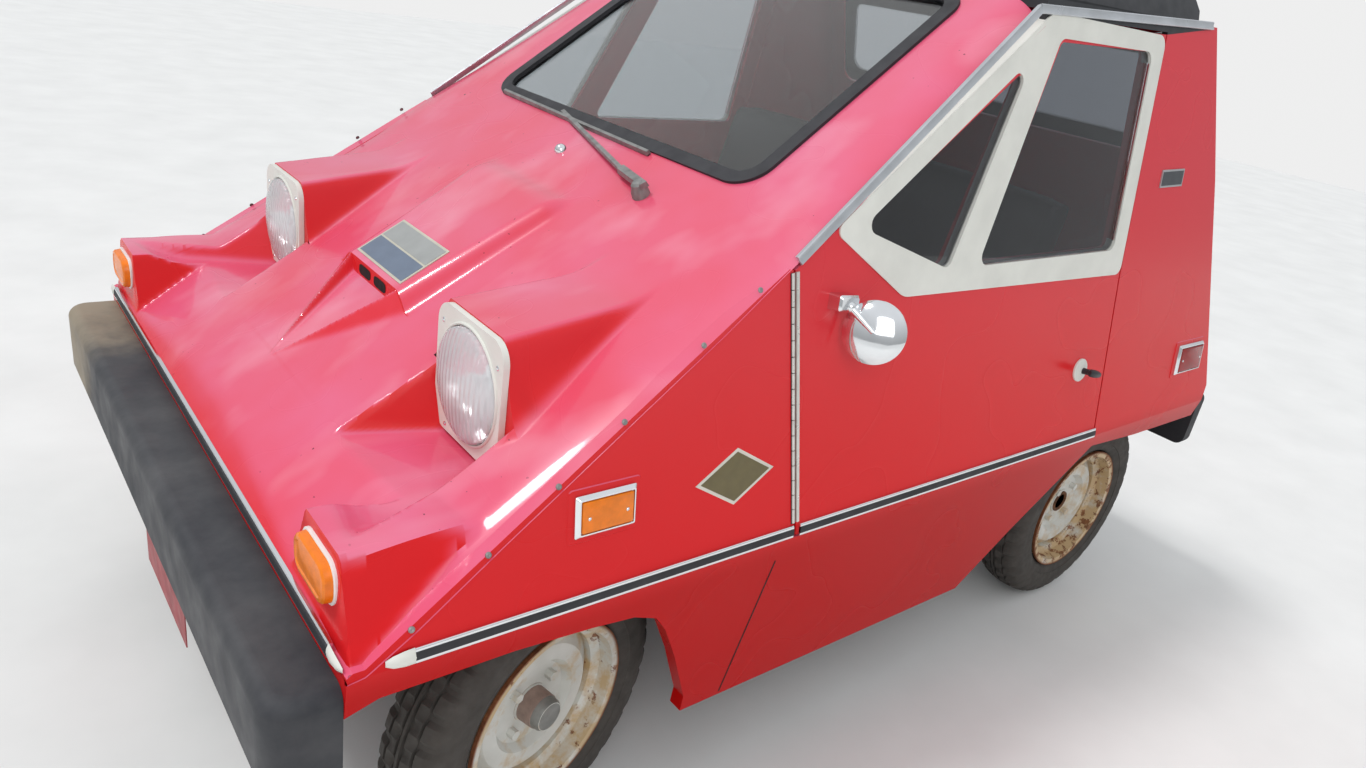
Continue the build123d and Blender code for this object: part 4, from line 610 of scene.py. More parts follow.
def hood_rows(xs, front):
    """Points over the stations, out to the seam on both sides, with a turned in edge."""
    rows = []
    for x in xs:
        bottom = np.interp(x, EDGE_X, EDGE_Z)
        out = float(side_at(bottom)) + SEAM_OUT
        inner = YS[-1]
        wide = [inner + (out - inner) * t for t in OUTER]
        ys = np.array([-v for v in reversed(wide)] + YS + wide)
        zs = hood_z(np.full_like(ys, x), ys, front)
        first, last = (x, -out + 8, zs[0] - 3), (x, out - 8, zs[-1] - 3)
        rows.append([first, *zip([x] * len(ys), ys, zs), last])
    return rows


def lamp_wall(side):
    """The upright wall round one headlamp, between the recess and the pod."""
    ys = [side * v for v in stations(296, 556, 4)]
    low = hood_z(np.full(len(ys), LAMP_X), np.array(ys), True)
    high = hood_z(np.full(len(ys), LAMP_X), np.array(ys), False)
    verts = []
    steps = 40
    for i in range(steps + 1):
        verts += [(LAMP_X, y, a + (b - a) * i / steps) for y, a, b in zip(ys, low, high)]

    def outside_lamp(i, j):
        v = verts[i * len(ys) + j]
        return math.hypot(v[1] - side * LAMP_Y, v[2] - LAMP_Z) > 94

    return verts, grid_faces(steps + 1, len(ys), outside_lamp)


def hood():
    """The whole moulding, open at the windscreen and the headlamps."""
    back_rows = hood_rows(XS_BACK, False)
    front_rows = hood_rows(XS_FRONT, True)
    columns = len(back_rows[0])

    def outside_screen(i, j):
        a, b = back_rows[i][j], back_rows[i + 1][min(j + 1, columns - 1)]
        return screen_edge((a[0] + b[0]) / 2, (a[1] + b[1]) / 2) < 14

    back = ([v for row in back_rows for v in row], grid_faces(len(back_rows), columns, outside_screen))
    front = ([v for row in front_rows for v in row], grid_faces(len(front_rows), columns))
    last = front_rows[-1]
    lip = [(NOSE_X, y, min(z, NOSE_TOP_Z) if abs(y) < 600 else z) for _, y, z in last]
    lip += [(NOSE_X, y, BELT_Z) for _, y, _ in last]
    nose = (lip, grid_faces(2, columns))
    return joined(back, front, nose, lamp_wall(1), lamp_wall(-1))


mesh_piece("hood_moulding", *hood(), RED, sharp=38, replaces=("front_panel",))


# Forms that the trim is made from
def bar(name, start, end, outline, out, look, body="car", replaces=()):
    """A straight bar from start to end, with its section given as (across, outwards) points."""
    a, b = Vector(start), Vector(end)
    along = (b - a).normalized()
    out = (Vector(out) - along * Vector(out).dot(along)).normalized()
    across = out.cross(along)
    verts = [p + across * u + out * v for p in (a, b) for u, v in outline]
    n = len(outline)
    faces = ring_walls(n, 0, n)
    faces += [tuple(range(n - 1, -1, -1)), tuple(range(n, 2 * n))]
    mesh_piece(name, verts, faces, look, body, replaces=replaces)


def rounded(width, depth, radius, base):
    """A section with rounded outer corners, whose foot lies at base."""
    points = [(-width / 2, base), (width / 2, base)]
    steps = 4
    for side, first in ((1, 0), (-1, math.pi / 2)):
        for i in range(steps + 1):
            t = first + math.pi / 2 * i / steps
            across = side * (width / 2 - radius) + radius * math.cos(t)
            points.append((across, depth - radius + radius * math.sin(t)))
    return points


def tapered(foot, head, low, high):
    """A section with straight sides: half width at foot and head, and their heights."""
    return [(-foot, low), (foot, low), (head, high), (-head, high)]


def ball(centre, radius, steps):
    """Points and faces of a ball."""
    verts, rings = [], steps // 2 + 1
    for i in range(rings):
        lat = math.radians(-90 + 180 * i / (rings - 1))
        for j in range(steps):
            lon = 2 * math.pi * j / steps
            p = (math.cos(lat) * math.cos(lon), math.cos(lat) * math.sin(lon), math.sin(lat))
            verts.append(tuple(c + radius * q for c, q in zip(centre, p)))
    return verts, grid_faces(rings, steps, wrap=True)


def turned(profile, origin, axis, steps, groove=None):
    """Points and faces of a profile (along the axis, radius) turned about an axis.

    groove(row, step) says how much deeper than the profile a point lies.
    """
    axis = Vector(axis).normalized()
    u = axis.cross(UP).normalized()
    v = axis.cross(u)
    verts = []
    for i, (h, r) in enumerate(profile):
        for j in range(steps):
            t = 2 * math.pi * j / steps
            around = u * math.cos(t) + v * math.sin(t)
            deep = groove(i, j) if groove else 0
            verts.append(tuple(Vector(origin) + axis * h + around * max(r - deep, 0.01)))
    return verts, grid_faces(len(profile), steps, wrap=True)


def screw_heads(name, places, radius, look):
    """Small domed screws at points, each with its outward direction."""
    profile = [(0, radius), (1.2, radius * 0.9), (2.2, radius * 0.45), (1.6, 0)]
    mesh_piece(name, *joined(*[turned(profile, p, out, 10) for p, out in places]), look)


def pad(name, levels, origin, right, out, look, body="car", replaces=()):
    """A rounded oblong built up in levels: how far out, width, height, corner radius."""
    out, right = Vector(out).normalized(), Vector(right)
    right = (right - out * right.dot(out)).normalized()
    up = out.cross(right)
    verts = []
    for h, wide, high, r in levels:
        for k, (sx, sy) in enumerate(((1, 1), (-1, 1), (-1, -1), (1, -1))):
            for i in range(7):
                t = math.pi / 2 * (k + i / 6)
                u = sx * (wide / 2 - r) + r * math.cos(t)
                v = sy * (high / 2 - r) + r * math.sin(t)
                verts.append(tuple(Vector(origin) + right * u + up * v + out * h))
    faces = grid_faces(len(levels), 28, wrap=True)
    faces.append(tuple(range(len(verts) - 28, len(verts))))
    mesh_piece(name, verts, faces, look, body, replaces=replaces)


def flat_plate(name, corners, thick, look, normal=None):
    c = [Vector(v) for v in corners]
    n = normal or (c[1] - c[0]).cross(c[3] - c[0]).normalized()
    verts = [tuple(v - n * 1) for v in c] + [tuple(v + n * thick) for v in c]
    k = len(c)
    faces = [tuple(range(k, 2 * k)), tuple(range(k - 1, -1, -1))] + ring_walls(k, 0, k)
    mesh_piece(name, verts, faces, look)


# Chrome strips at the belt, round the nose
STRIP_Z = 575
NOSE_STRIP_Z = 576
SIDE_CAP = ((1030.5, 11.4, 6.4), (1044, 11, 7.4), (1058, 8.5, 6), (1068, 4, 2))
NOSE_CAP = ((646, 11.6, 6.6), (660, 11.2, 8), (676, 8.5, 6.4), (687, 3.5, 2))
CAP_STEPS = (0, 0.12, 0.3, 0.5, 0.7, 0.88, 1)


def strip(name, ends, out, body="car"):
    """Chrome strip with a black insert."""
    bar(name, *ends, rounded(22, 5, 2.4, -1), out, CHROME, body)
    insert = [(u, v + 4.4) for u, v in rounded(11.5, 1.8, 0.8, -2)]
    bar(f"{name}_insert", *ends, insert, out, RUBBER, body)


def end_cap(name, place, rows):
    """Off-white end of a strip; rows say how far along, half height and depth."""
    spots = []
    for along, half, depth in rows:
        for t in CAP_STEPS:
            swell = depth * math.sin(math.pi * (0.06 + 0.88 * t)) ** 0.6
            spots.append(place(along, -half + 2 * half * t, swell))
    faces = grid_faces(len(rows), 7)
    faces += [tuple(range(6, -1, -1)), tuple(range(len(spots) - 7, len(spots)))]
    mesh_piece(name, spots, faces, CREAM)


def side_strips(tag, side):
    """Strips of one side, with caps round the front corner."""
    for name, body, front, rear in (
        ("fender_strip", "car", 1031, 380),
        ("door_strip", f"door_{tag}", 365, -578),
    ):
        ends = (side_spot(front, STRIP_Z, side), side_spot(rear, STRIP_Z, side))
        strip(f"{name}_{tag}", outward(ends, side), (0, side, LEAN_ABOVE), body)

    def on_side(x, high, depth):
        return side_spot(x, STRIP_Z + high, side, depth)

    def on_nose(y, high, depth):
        return (NOSE_X + depth, side * y, NOSE_STRIP_Z + high)

    end_cap(f"strip_cap_{tag}", on_side, SIDE_CAP)
    end_cap(f"nose_cap_{tag}", on_nose, NOSE_CAP)


for tag, side in SIDES:
    side_strips(tag, side)
strip("nose_strip", ((NOSE_X, 646, NOSE_STRIP_Z), (NOSE_X, -646, NOSE_STRIP_Z)), (1, 0, 0.1))

# Door hinge, mirror, handle and drip rails
KNUCKLES = 16


def hinge_line(z, side):
    """A point just before the door's leaning front edge."""
    x = 369.5 + (59 / 441) * (z - BELT_Z) + 2.5
    return side_spot(x, z, side)


def hinge(tag, side):
    """Leaf on the door, knuckles, and a black strip on the car as painted shade in the door gap."""
    out = (0, side, LEAN_ABOVE)
    a, b = outward((hinge_line(590, side), hinge_line(1004, side)), side)
    leaf = [(-9, -1), (-1.6, -1), (-1.6, 1.4), (-2.6, 3.2), (-7.6, 3.2), (-9, 1.6)]
    fittings = (f"door_fittings_{tag}",)
    bar(f"hinge_leaf_{tag}", a, b, leaf, out, CREAM_METAL, f"door_{tag}", replaces=fittings)
    lift = side_normal(side) * 1.6 + Vector((5.2, 0, 0))
    shapes = []
    for i in range(KNUCKLES):
        p = Vector(a).lerp(Vector(b), (i + 0.03) / KNUCKLES)
        q = Vector(a).lerp(Vector(b), (i + 0.97) / KNUCKLES)
        long = (q - p).length
        profile = [(0, 0.01), (0, 2.9), (long, 2.9), (long, 0.01)]
        shapes.append(turned(profile, p + lift, q - p, 10))
    mesh_piece(f"hinge_knuckles_{tag}", *joined(*shapes), CREAM_METAL)
    # Painted shade: a black strip where the door gap lies in shadow.
    bar(f"hinge_gap_shade_{tag}", a, b, [(3.2, 0.3), (8.6, 0.3), (8.6, 2), (3.2, 2)], out, BLACK)


def mirror(tag, side):
    """Round mirror on its arm, turned outward."""
    door = f"door_{tag}"
    block = [(0, 46, 27, 4), (22, 44, 25, 4), (26, 38, 19, 4)]
    foot = side_spot(328, 953, side)
    pad(f"mirror_foot_{tag}", block, foot, (1, 0, 0.08), (0, side, LEAN_ABOVE), CHROME, door)
    joint = Vector(side_spot(325, 951, side, 24))
    disc = Vector((297.5, side * 700, 918.5))
    face = Vector((-0.8, side * -0.52, -0.28)).normalized()
    knob = ball(tuple(joint), 9, 16)
    back = disc - face * 14
    arm = turned([(0, 7), ((back - joint).length, 4.2)], joint, back - joint, 14)
    dish = [(-14, 0.01), (-13.5, 12), (-10, 30), (-4, 44), (2, 50.5)]
    dish += [(5, 51), (6.5, 49.5), (5, 48), (4.5, 0.01)]
    mesh_piece(f"mirror_{tag}", *joined(knob, arm, turned(dish, disc, face, 48)), CHROME, door)


def handle(tag, side):
    """Round escutcheon with its T handle."""
    door = f"door_{tag}"
    at = Vector(side_spot(-462, 736, side))
    normal = side_normal(side)
    ring = [(0, 25), (3.5, 25), (5, 23), (5.5, 17), (7, 15), (9, 11), (9, 0.01)]
    mesh_piece(f"handle_plate_{tag}", *turned(ring, at, normal, 40), CREAM, door)
    stem = turned([(6, 7), (24, 6), (30, 7)], at, normal, 20)
    grip_at = at + normal * 34
    lean = Vector((-1, 0, -0.25)).normalized()
    cross = lean.cross(normal)
    rows = ((-22, 5, 4), (-18, 8, 6), (0, 8.5, 8), (14, 7.5, 7), (24, 6, 5), (28, 3, 3))
    grip = []
    for t, half, thick in rows:
        centre = grip_at + lean * t
        for k in range(14):
            u = 2 * math.pi * k / 14
            grip.append(tuple(centre + cross * half * math.cos(u) + normal * thick * math.sin(u)))
    ends = [tuple(range(13, -1, -1)), tuple(range(70, 84))]
    grip_shape = (grip, grid_faces(6, 14, wrap=True) + ends)
    mesh_piece(f"handle_{tag}", *joined(stem, grip_shape), BLACK, door)


def drip_rail(tag, side):
    """Rail over the door, on to the back of the roof."""
    a = Vector(side_spot(426, 1020, side, 2))
    b = Vector((-99, side * 575.5, 1413))
    c = Vector((-741, side * 572, 1440))
    rail = [(-7, 0), (9, -2), (9, 3), (7, 4.5), (1, 3), (-6, 4.5), (-7, 3)]
    for half, ends in (("front", (a, b)), ("rear", (b, c))):
        bar(f"drip_rail_{half}_{tag}", *outward(ends, side), rail, (0, side, 0.35), SILVER)


for tag, side in SIDES:
    hinge(tag, side)
    mirror(tag, side)
    handle(tag, side)
    drip_rail(tag, side)

# Screws along the hood's seam
HOOD_SCREWS = ((1036, 612), (933, 683), (832, 753), (731, 824), (600, 914), (500, 984))
for tag, side in SIDES:
    out = Vector((0.12, side, 0.5)).normalized()
    places = [(Vector(side_spot(x - 2, z - 1, side, 0.8)), out) for x, z in HOOD_SCREWS]
    screw_heads(f"hood_screws_{tag}", places, 4.6, WORN_METAL)

# Headlamps: bowl, fluted lens, ring, bulb, bezel screws
BOWL_RADII = (0.01, 12, 24, 36, 48, 60, 72, 82, 88)
DOME_RADII = (87, 84, 79, 70, 55, 40, 25, 12, 0.01)
BEZEL_SCREWS = ((-84, 72), (86, 64), (-62, -92), (62, -92))


def headlamp(tag, side):
    """One lamp; the left lens stands for both solids."""
    centre, ahead = (LAMP_X, side * LAMP_Y, LAMP_Z), (1, 0, 0)
    bowl = [(8 - 62 * (1 - (r / 88) ** 2), r) for r in BOWL_RADII]
    mesh_piece(f"lamp_bowl_{tag}", *turned(bowl, centre, ahead, 56), REFLECTOR, sharp=60)
    dome = [(9, 88.4), (13, 87.6)]
    dome += [(13 + 17 * math.sqrt(1 - (r / 89) ** 2), r) for r in DOME_RADII]
    lens = turned(dome, centre, ahead, 56)
    solid = ("headlamps",) if side > 0 else ()
    mesh_piece(f"lamp_lens_{tag}", *lens, LENS, sharp=60, replaces=solid)
    ring = [(9.8, 94), (12, 93.4), (13, 91.6), (12.4, 89.6), (9, 89)]
    mesh_piece(f"lamp_ring_{tag}", *turned(ring, centre, ahead, 56), CREAM)
    bulb = [(0, 9), (22, 9), (30, 5), (32, 0.01)]
    bulb_at = (LAMP_X - 50, side * LAMP_Y, LAMP_Z)
    mesh_piece(f"lamp_bulb_{tag}", *turned(bulb, bulb_at, ahead, 20), CHROME)
    places = []
    for y, z in BEZEL_SCREWS:
        places.append((Vector((LAMP_X + 10, side * (LAMP_Y + y), LAMP_Z + z)), Vector(ahead)))
    screw_heads(f"bezel_screws_{tag}", places, 4.2, CHROME)


for tag, side in SIDES:
    headlamp(tag, side)


# Windscreen wiper and washer nozzle
def wiper():
    hood_out, screen_out = (0.5, 0, 0.86), (0.58, 0, 0.81)
    pivot, tip = Vector((451.5, 262, 1026)), Vector((364.5, -147, 1083))
    boss = [(-14, 17), (2, 16), (10, 13), (16, 12), (20, 8), (21, 0.01)]
    mesh_piece("wiper_boss", *turned(boss, pivot, hood_out, 24), WORN_METAL, replaces=("wiper",))
    knee = pivot.lerp(tip, 0.2) + Vector((4, 0, 8))
    head = pivot + Vector((4, 0, 14))
    bar("wiper_head", head + Vector((0, 14, 0)), knee, tapered(9, 7, -5, 5), hood_out, WORN_METAL)
    bar("wiper_arm", knee, tip, tapered(6, 4, -2.5, 3), hood_out, WORN_METAL)
    blade = Vector((379.5, 177, 1073)), Vector((369.5, -382, 1079))
    bar("wiper_blade", *blade, tapered(5, 3, -3, 5), screen_out, WORN_METAL)
    bar("wiper_rubber", *blade, tapered(2.5, 2.5, -9, -2), screen_out, BLACK)


wiper()
NOZZLE = [(-6, 13), (0, 12), (4, 9), (7, 5), (8, 0.01)]
mesh_piece("washer_nozzle", *turned(NOZZLE, (437.5, -28, 1034), (0.5, 0, 0.86), 18), CHROME)

# Plaque on the spine, all bare
for name, front, rear, half, thick, look in (
    ("plaque", 805, 717, 97, 2, PLAQUE_CREAM),
    ("plaque_front_half", 801, 762, 92, 2.5, PLAQUE_GREY),
    ("plaque_rear_half", 758.5, 721, 92, 2.5, PLAQUE_PALE),
):
    corners = ((front, -half), (front, half), (rear, half), (rear, -half))
    flat_plate(name, [(x, y, spine_top(x) - 0.5) for x, y in corners], thick, look)


# Black plates as painted shade inside the openings in the front of the spine
def scoop(name, y):
    ring = []
    count = 28
    for i in range(count):
        t = 2 * math.pi * i / count
        c, s = math.cos(t), math.sin(t)
        across = y + 26 * math.copysign(abs(c) ** 0.5, c)
        ring.append((across, 806 + 9.5 * math.copysign(abs(s) ** 0.5, s)))
    verts = [(SCOOP_AT + x, a, b) for x in (0.9, 0.4) for a, b in ring]
    mesh_piece(name, verts, [tuple(range(count))] + ring_walls(count, 0, count), OPENING_SHADE)


scoop("scoop_right", -34)
scoop("scoop_left", 34)


# Badge on the quarter and diamond on the fender, all bare
BADGE = [(-653.5, 1112), (-653.5, 1149), (-752.5, 1152), (-752.5, 1115)]
BADGE_FACE = [(-657.5, 1116), (-657.5, 1145), (-748.5, 1148), (-748.5, 1119)]
for tag, side in SIDES:
    n = side_normal(side)
    for name, corners, out, look in (
        ("side_badge", BADGE, 0, BADGE_RIM),
        ("side_badge_face", BADGE_FACE, 0.6, BADGE_DARK),
    ):
        spots = [side_spot(x, z, side, out) for x, z in corners]
        flat_plate(f"{name}_{tag}", outward(spots, side), 2.5, look, normal=n)
    for name, grow, out, look in (("diamond_rim", 0, 0.9, DIAMOND_RIM), ("diamond", 6, 1.4, DIAMOND)):
        half, high = 79 - 1.6 * grow, 46 - grow
        tips = ((half, 0), (0, high), (-half, 0), (0, -high))
        spots = [side_spot(516.5 + dx, 700 + dz, side) for dx, dz in tips]
        flat_plate(f"{name}_{tag}", outward(spots, side), out, look, normal=n)


# Turn signals and side markers
def turn_signal(tag, side):
    """White base with an amber lens; the left base stands for both solids."""
    centre = Vector((TURN_X, side * 577, 653))
    base = [(-4, 118, 66, 26), (4.6, 118, 66, 26), (5.6, 115, 63, 25), (5.6, 110, 58, 23)]
    solid = ("indicator_lamps",) if side > 0 else ()
    pad(f"turn_base_{tag}", base, centre, (0, 1, 0), (1, 0, 0), WHITE_BASE, replaces=solid)
    lens = [(4, 112, 60, 24), (15, 109, 57.5, 23), (17.6, 103, 52, 20)]
    lens += [(18.4, 92, 42, 14), (17, 86, 36, 10), (18.6, 60, 14, 5)]
    pad(f"turn_lens_{tag}", lens, centre, (0, 1, 0), (1, 0, 0), AMBER)


def marker(name, tag, side, x, z, long, high, look):
    """Side marker: embossed pad, chrome frame, lens and two screws."""
    n = side_normal(side)
    at = side_spot(x, z, side)

    def level(out, less, radius):
        return (out, long - less, high - less, radius)

    embossed = [(-1, long + 22, high + 20, 8), (1.6, long + 18, high + 16, 7)]
    chrome = [level(0, 0, 3), level(5, 0, 3), level(10, 9, 2.5)]
    chrome += [level(10, 13, 2), level(6, 14, 2)]
    glow = [level(5, 16, 2), level(10.5, 17, 2), level(11.5, 21, 2)]
    for kind, levels, coat in (("pad", embossed, RED), ("frame", chrome, CHROME), ("lens", glow, look)):
        pad(f"{name}_marker_{kind}_{tag}", levels, at, (1, 0, 0), n, coat)
    spots = [(Vector(side_spot(x + s * (long / 2 - 19), z, side, 11.4)), n) for s in (1, -1)]
    screw_heads(f"{name}_marker_screws_{tag}", spots, 3, CHROME)


def sill_seam(tag, side):
    """Slanted seam between the fender and the sill."""
    ends = [side_spot(x, z, side) for x, z in ((398, 519), (426.5, 222))]
    section = tapered(1.7, 1.7, -1, 0.35)
    bar(f"sill_seam_{tag}", *outward(ends, side), section, (0, side, -LEAN_BELOW), SEAM)


for tag, side in SIDES:
    turn_signal(tag, side)
    marker("front", tag, side, 756, 702, 100, 62, AMBER)
    marker("rear", tag, side, -981, 699, 128, 74, RED_LENS)
    sill_seam(tag, side)


# White window frames with rounded corners over the door's own frame
def rounded_corners(points, radii):
    """A closed outline with each corner replaced by an arc."""
    out = []
    steps = 6
    for k, p in enumerate(points):
        before, after = Vector(points[k - 1]), Vector(points[(k + 1) % len(points)])
        p = Vector(p)
        u, v = (before - p).normalized(), (after - p).normalized()
        half = u.angle(v) / 2
        back = radii[k] / math.tan(half)
        centre = p + (u + v).normalized() * (radii[k] / math.sin(half))
        a, b = p + u * back - centre, p + v * back - centre
        swing = a.angle_signed(b)
        for i in range(steps + 1):
            t = -swing * i / steps
            c, s = math.cos(t), math.sin(t)
            out.append(tuple(centre + Vector((a.x * c - a.y * s, a.x * s + a.y * c))))
    return out


FRAME_CORNERS = [(355, 1061), (-140, 1413), (-553, 1407), (-551, 935), (170.5, 946)]
FRONT_PANE = [(293.5, 1064), (-100.5, 1338), (57.5, 985)]
REAR_PANE = [(-177.5, 1374), (-509.5, 1374), (-504.5, 988), (-27.5, 985)]
FRAME_LOOPS = (
    rounded_corners(FRAME_CORNERS, (14, 60, 26, 20, 46)),
    rounded_corners(FRONT_PANE, (17, 15, 17)),
    rounded_corners(REAR_PANE, (20, 22, 20, 18)),
)


def window_frame(tag, side):
    """The frame's outline less its two panes."""
    flat = [p for loop in FRAME_LOOPS for p in loop]
    tris = tessellate_polygon([[Vector((*p, 0)) for p in loop] for loop in FRAME_LOOPS])
    n = len(flat)
    verts = [side_spot(x, z, side, out) for out in (3, -20) for x, z in flat]
    faces = [tuple(t) for t in tris] + [tuple(n + i for i in t) for t in tris]
    first = 0
    for loop in FRAME_LOOPS:
        faces += ring_walls(len(loop), first, n + first)
        first += len(loop)
    face = mesh_piece(f"frame_face_{tag}", verts, faces, CREAM, f"door_{tag}", sharp=40)
    soften(face, 3.5, 60)


for tag, side in SIDES:
    window_frame(tag, side)

# Wheels
AXLE_Z = 262
HUB_OUT = 75
WHEELS = (
    # name, kingpin or wheel centre, side, steering angle or None
    ("front_left", (779, 471, AXLE_Z), 1, 14.4),
    ("front_right", (779, -471, AXLE_Z), -1, 14.4),
    ("rear_left", (-821, 559, AXLE_Z), 1, None),
    ("rear_right", (-821, -559, AXLE_Z), -1, None),
)
FRONT_HUB = (
    # piece, profile, material
    ("hub_barrel", [(6, 36), (9.5, 34), (11, 31.5), (40, 30.5), (41, 28.5)], GREASY),
    (
        "dust_cap",
        [(39, 28.6), (41.5, 29.4), (44, 28.6), (50, 28.2), (55.5, 25.5), (56.6, 22), (56.8, 0.01)],
        CAP_GREY,
    ),
)
REAR_HUB = (("hub_end", [(8, 30), (14, 29), (16, 24), (12, 20), (12, 0.01)], RUSTY),)
TREAD_STEPS = 216
TYRE_PROFILE = [
    # along the axle, radius, how deep the cross grooves are there
    (49, 168, 0), (53, 172, 0), (56.5, 180, 0), (59, 190, 0), (60.6, 191, 0),
    (60.8, 200, 0), (60.9, 208, 0), (60.6, 216, 0), (60.8, 217, 0), (59.6, 224, 0),
    (57.8, 232, 1.5), (55.4, 239, 4), (52, 246, 6), (47, 251.5, 6.5), (43, 254.5, 6.5),
    (35, 257.5, 6.5), (30, 258.8, 6.5), (29.4, 252.5, 0), (25, 252.8, 0), (24.4, 259.8, 5),
    (14, 261, 5), (8, 261.4, 5), (7.4, 255, 0), (3, 255, 0), (2.4, 261.6, 0),
    (0, 261.8, 0),
]


def tyre_shape(centre, axis):
    """One tyre: smooth sidewalls with raised rings, and a tread of blocks and grooves."""
    whole = TYRE_PROFILE + [(-h, r, d) for h, r, d in reversed(TYRE_PROFILE[:-1])]

    def groove(i, j):
        h, _, depth = whole[i]
        shift = (3 if abs(h) < 24 else 0) + (0 if h > 0 else 3)
        return depth if (j + shift) % 6 < 2 else 0

    return turned([(h, r) for h, r, _ in whole], centre, axis, TREAD_STEPS, groove)


def valve(name, centre, axis):
    out = Vector(axis)
    u = out.cross(UP).normalized()
    at = Vector(centre) + u * 128 + Vector((0, 0, 20)) + out * 6
    stem = turned([(0, 4.5), (18, 4), (26, 3.6), (30, 3.6), (30.5, 0.01)], at, out, 12)
    mesh_piece(f"valve_{name}", *stem, BLACK, f"wheel_{name}")


def wheel(name, pin, side, steer):
    """Tyre, rim paint, hub and valve of one wheel."""
    front = steer is not None
    if front:
        s, c = math.sin(math.radians(steer)), math.cos(math.radians(steer))
        centre = (pin[0] - side * HUB_OUT * s, pin[1] + side * HUB_OUT * c, AXLE_Z)
        axis = (-side * s, side * c, 0)
    else:
        centre, axis = pin, (0, float(side), 0)
    paint(f"tyre_{name}", TYRE)
    tyre = (f"tyre_{name}",)
    mesh_piece(f"tread_{name}", *tyre_shape(centre, axis), TYRE, f"wheel_{name}", sharp=28, replaces=tyre)
    paint(f"rim_{name}", rim_paint(f"wheel_enamel_{name}", centre, axis, 0.03 if front else 0.1))
    for piece, profile, look in FRONT_HUB if front else REAR_HUB:
        hub = turned(profile, centre, axis, 40 if front else 30)
        mesh_piece(f"{piece}_{name}", *hub, look, f"wheel_{name}")
    valve(name, centre, axis)


for name, pin, side, steer in WHEELS:
    wheel(name, pin, side, steer)


# Seat: two places side by side, softly rounded
def soft_block(centre, size, radius, bulge, lean=0):
    """A rounded block that swells a little in the middle of its faces."""
    verts, faces = [], []
    half = np.array(size) / 2
    steps = 10
    for axis in range(3):
        across, beside = (axis + 1) % 3, (axis + 2) % 3
        for way in (1, -1):
            first = len(verts)
            for i in range(steps + 1):
                for j in range(steps + 1):
                    p = np.zeros(3)
                    p[axis] = way
                    p[across] = math.sin((2 * i / steps - 1) * math.pi / 2)
                    p[beside] = math.sin((2 * j / steps - 1) * math.pi / 2)
                    q = p * half
                    core = np.clip(q, radius - half, half - radius)
                    d = q - core
                    n = np.linalg.norm(d)
                    if n > 1e-6:
                        q = core + d / n * min(radius, n)
                    q[axis] += way * bulge * (1 - p[across] ** 2) * (1 - p[beside] ** 2) - way * bulge
                    q[0] -= lean * q[2]
                    verts.append(tuple(np.array(centre) + q))
            for i in range(steps):
                for j in range(steps):
                    k = first + i * (steps + 1) + j
                    quad = (k, k + steps + 1, k + steps + 2, k + 1)
                    faces.append(quad if way > 0 else quad[::-1])
    return verts, faces


seat_shapes = []
for y in (-279, 279):
    seat_shapes.append(soft_block((-87, y, 566), (466, 556, 88), 30, 6))
    seat_shapes.append(soft_block((-425, y * 0.945, 836), (92, 526, 444), 34, 6, 110 / 450))
cushions = mesh_piece("seat_cushions", *joined(*seat_shapes), SEAT, sharp=80, replaces=("seat",))


# Tail lamps
def tail_lamp(y, back, lean):
    """Chrome rim and red lens; the first rim stands for all the solids."""
    at = Vector((-1138.5 + 135 / math.tan(lean), y, 740)) + back * 0.3
    rim = [(0, 51), (7, 51), (10, 48), (9, 45)]
    solid = ("tail_lamps",) if y == -540 else ()
    mesh_piece(f"tail_rim_{int(y)}", *turned(rim, at, back, 48), CHROME, replaces=solid)
    lens = [(7, 46), (15, 44.5), (20, 40), (22.5, 30), (21.5, 22), (23.5, 14), (23.5, 0.01)]
    mesh_piece(f"tail_lens_{int(y)}", *turned(lens, at, back, 48), RED_LENS)


tail_lean = math.atan2(1127 - 605, 217)
tail_back = Vector((-math.sin(tail_lean), 0, math.cos(tail_lean)))
for y in (-540, -400, 400, 540):
    tail_lamp(y, tail_back, tail_lean)

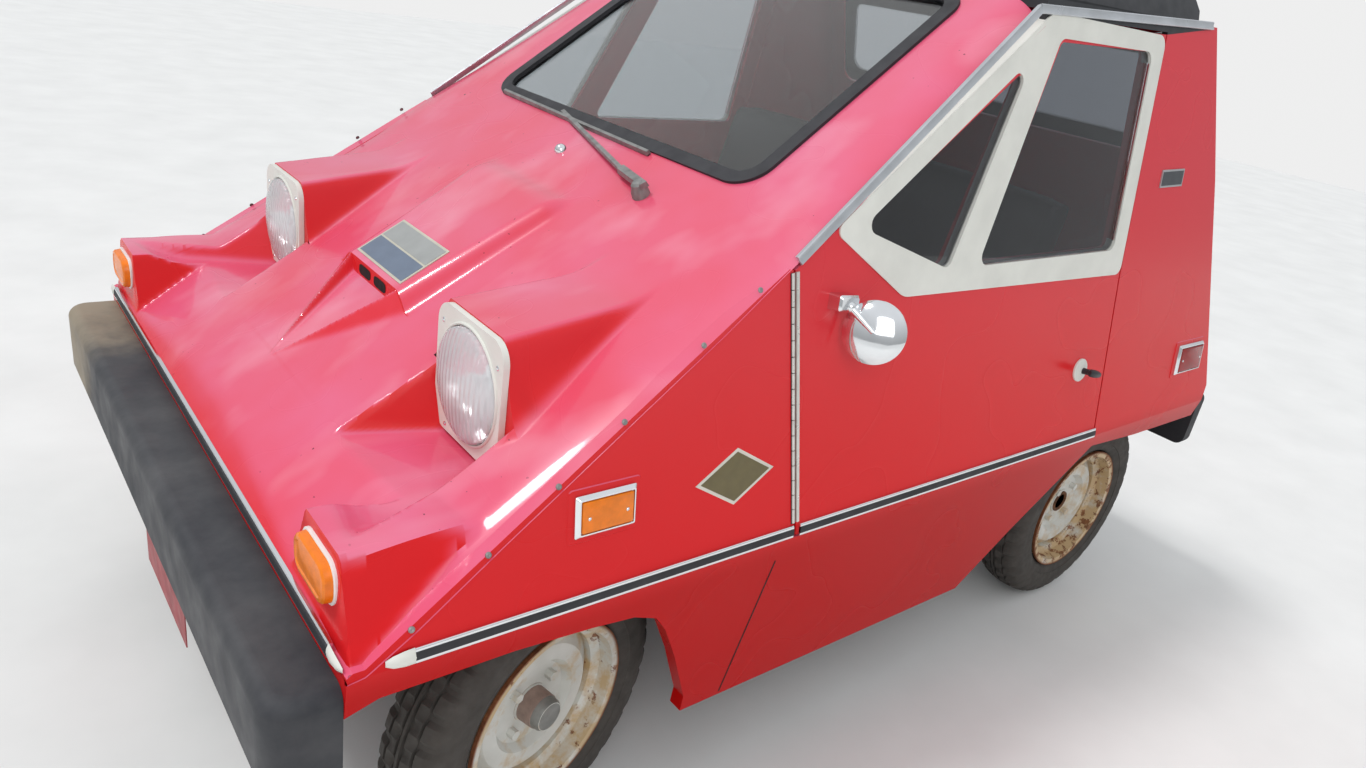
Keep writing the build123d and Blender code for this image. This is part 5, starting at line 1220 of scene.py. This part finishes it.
# Softer edges on the plain panels
EDGE_WIDTHS = {
    "front_bumper": 16, "rear_bumper": 10, "dashboard": 8, "nose_panel": 5, "roof_panel": 5,
    "tail_panel": 4, "quarter_panels": 3, "windscreen_gasket": 3, "fenders": 2.5, "sills": 2.5,
    "door_panel_left": 2, "door_panel_right": 2, "headlamp_bezels": 2, "hatch_frame": 1.5,
    "licence_plates": 0.6,
}
for node, width in EDGE_WIDTHS.items():
    soften(NODES[node], width, 28)


# Floor, backdrop light and lamps
def stage_floor():
    """A wide pale floor at wheel height."""
    floor_mesh = bpy.data.meshes.new("floor")
    floor_mesh.from_pydata([(-14, -14, 0), (14, -14, 0), (14, 14, 0), (-14, 14, 0)], [], [(0, 1, 2, 3)])
    floor = scene_object("floor", floor_mesh)
    net = Net("floor_paint", Roughness=0.9)
    net.set("Base Color", net.ramp(net.noise(3.0), (0.3, rgb(222, 222, 220)), (0.7, rgb(230, 230, 228))))
    floor_mesh.materials.append(net.mat)
    floor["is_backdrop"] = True


def backdrop():
    """Plain pale grey for the camera and through glass, a soft sky for light and reflections."""
    net = Net("world", world=True)
    bpy.context.scene.world = net.mat
    path = net.nodes.new("ShaderNodeLightPath").outputs
    seen = net.math("MAXIMUM", path["Is Camera Ray"], path["Is Transmission Ray"])
    sky = net.ramp(net.along("Z"), (0.0, (0.42, 0.43, 0.44)), (0.75, (0.8, 0.82, 0.85)))
    net.set("Color", net.mix(seen, sky, (0.86, 0.86, 0.86)))
    net.set("Strength", 1.0)


def lamp(name, kind, energy, place, target, size):
    """A lamp turned to a target; a sun's size is its angle."""
    data = bpy.data.lights.new(name, kind)
    data.energy = energy
    if kind == "AREA":
        data.size = size
    else:
        data.angle = size
    o = scene_object(name, data)
    o.location = place
    o.rotation_mode = "QUATERNION"
    o.rotation_quaternion = (Vector(target) - Vector(place)).to_track_quat("-Z", "Y")


stage_floor()
backdrop()
lamp("key", "SUN", 1.3, (2.0, -1.2, 4.0), (0, 0, 0), 0.2)
lamp("fill", "AREA", 40.0, (2.5, 3.5, 3.0), (0, 0, 0.5), 2.5)

low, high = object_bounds()
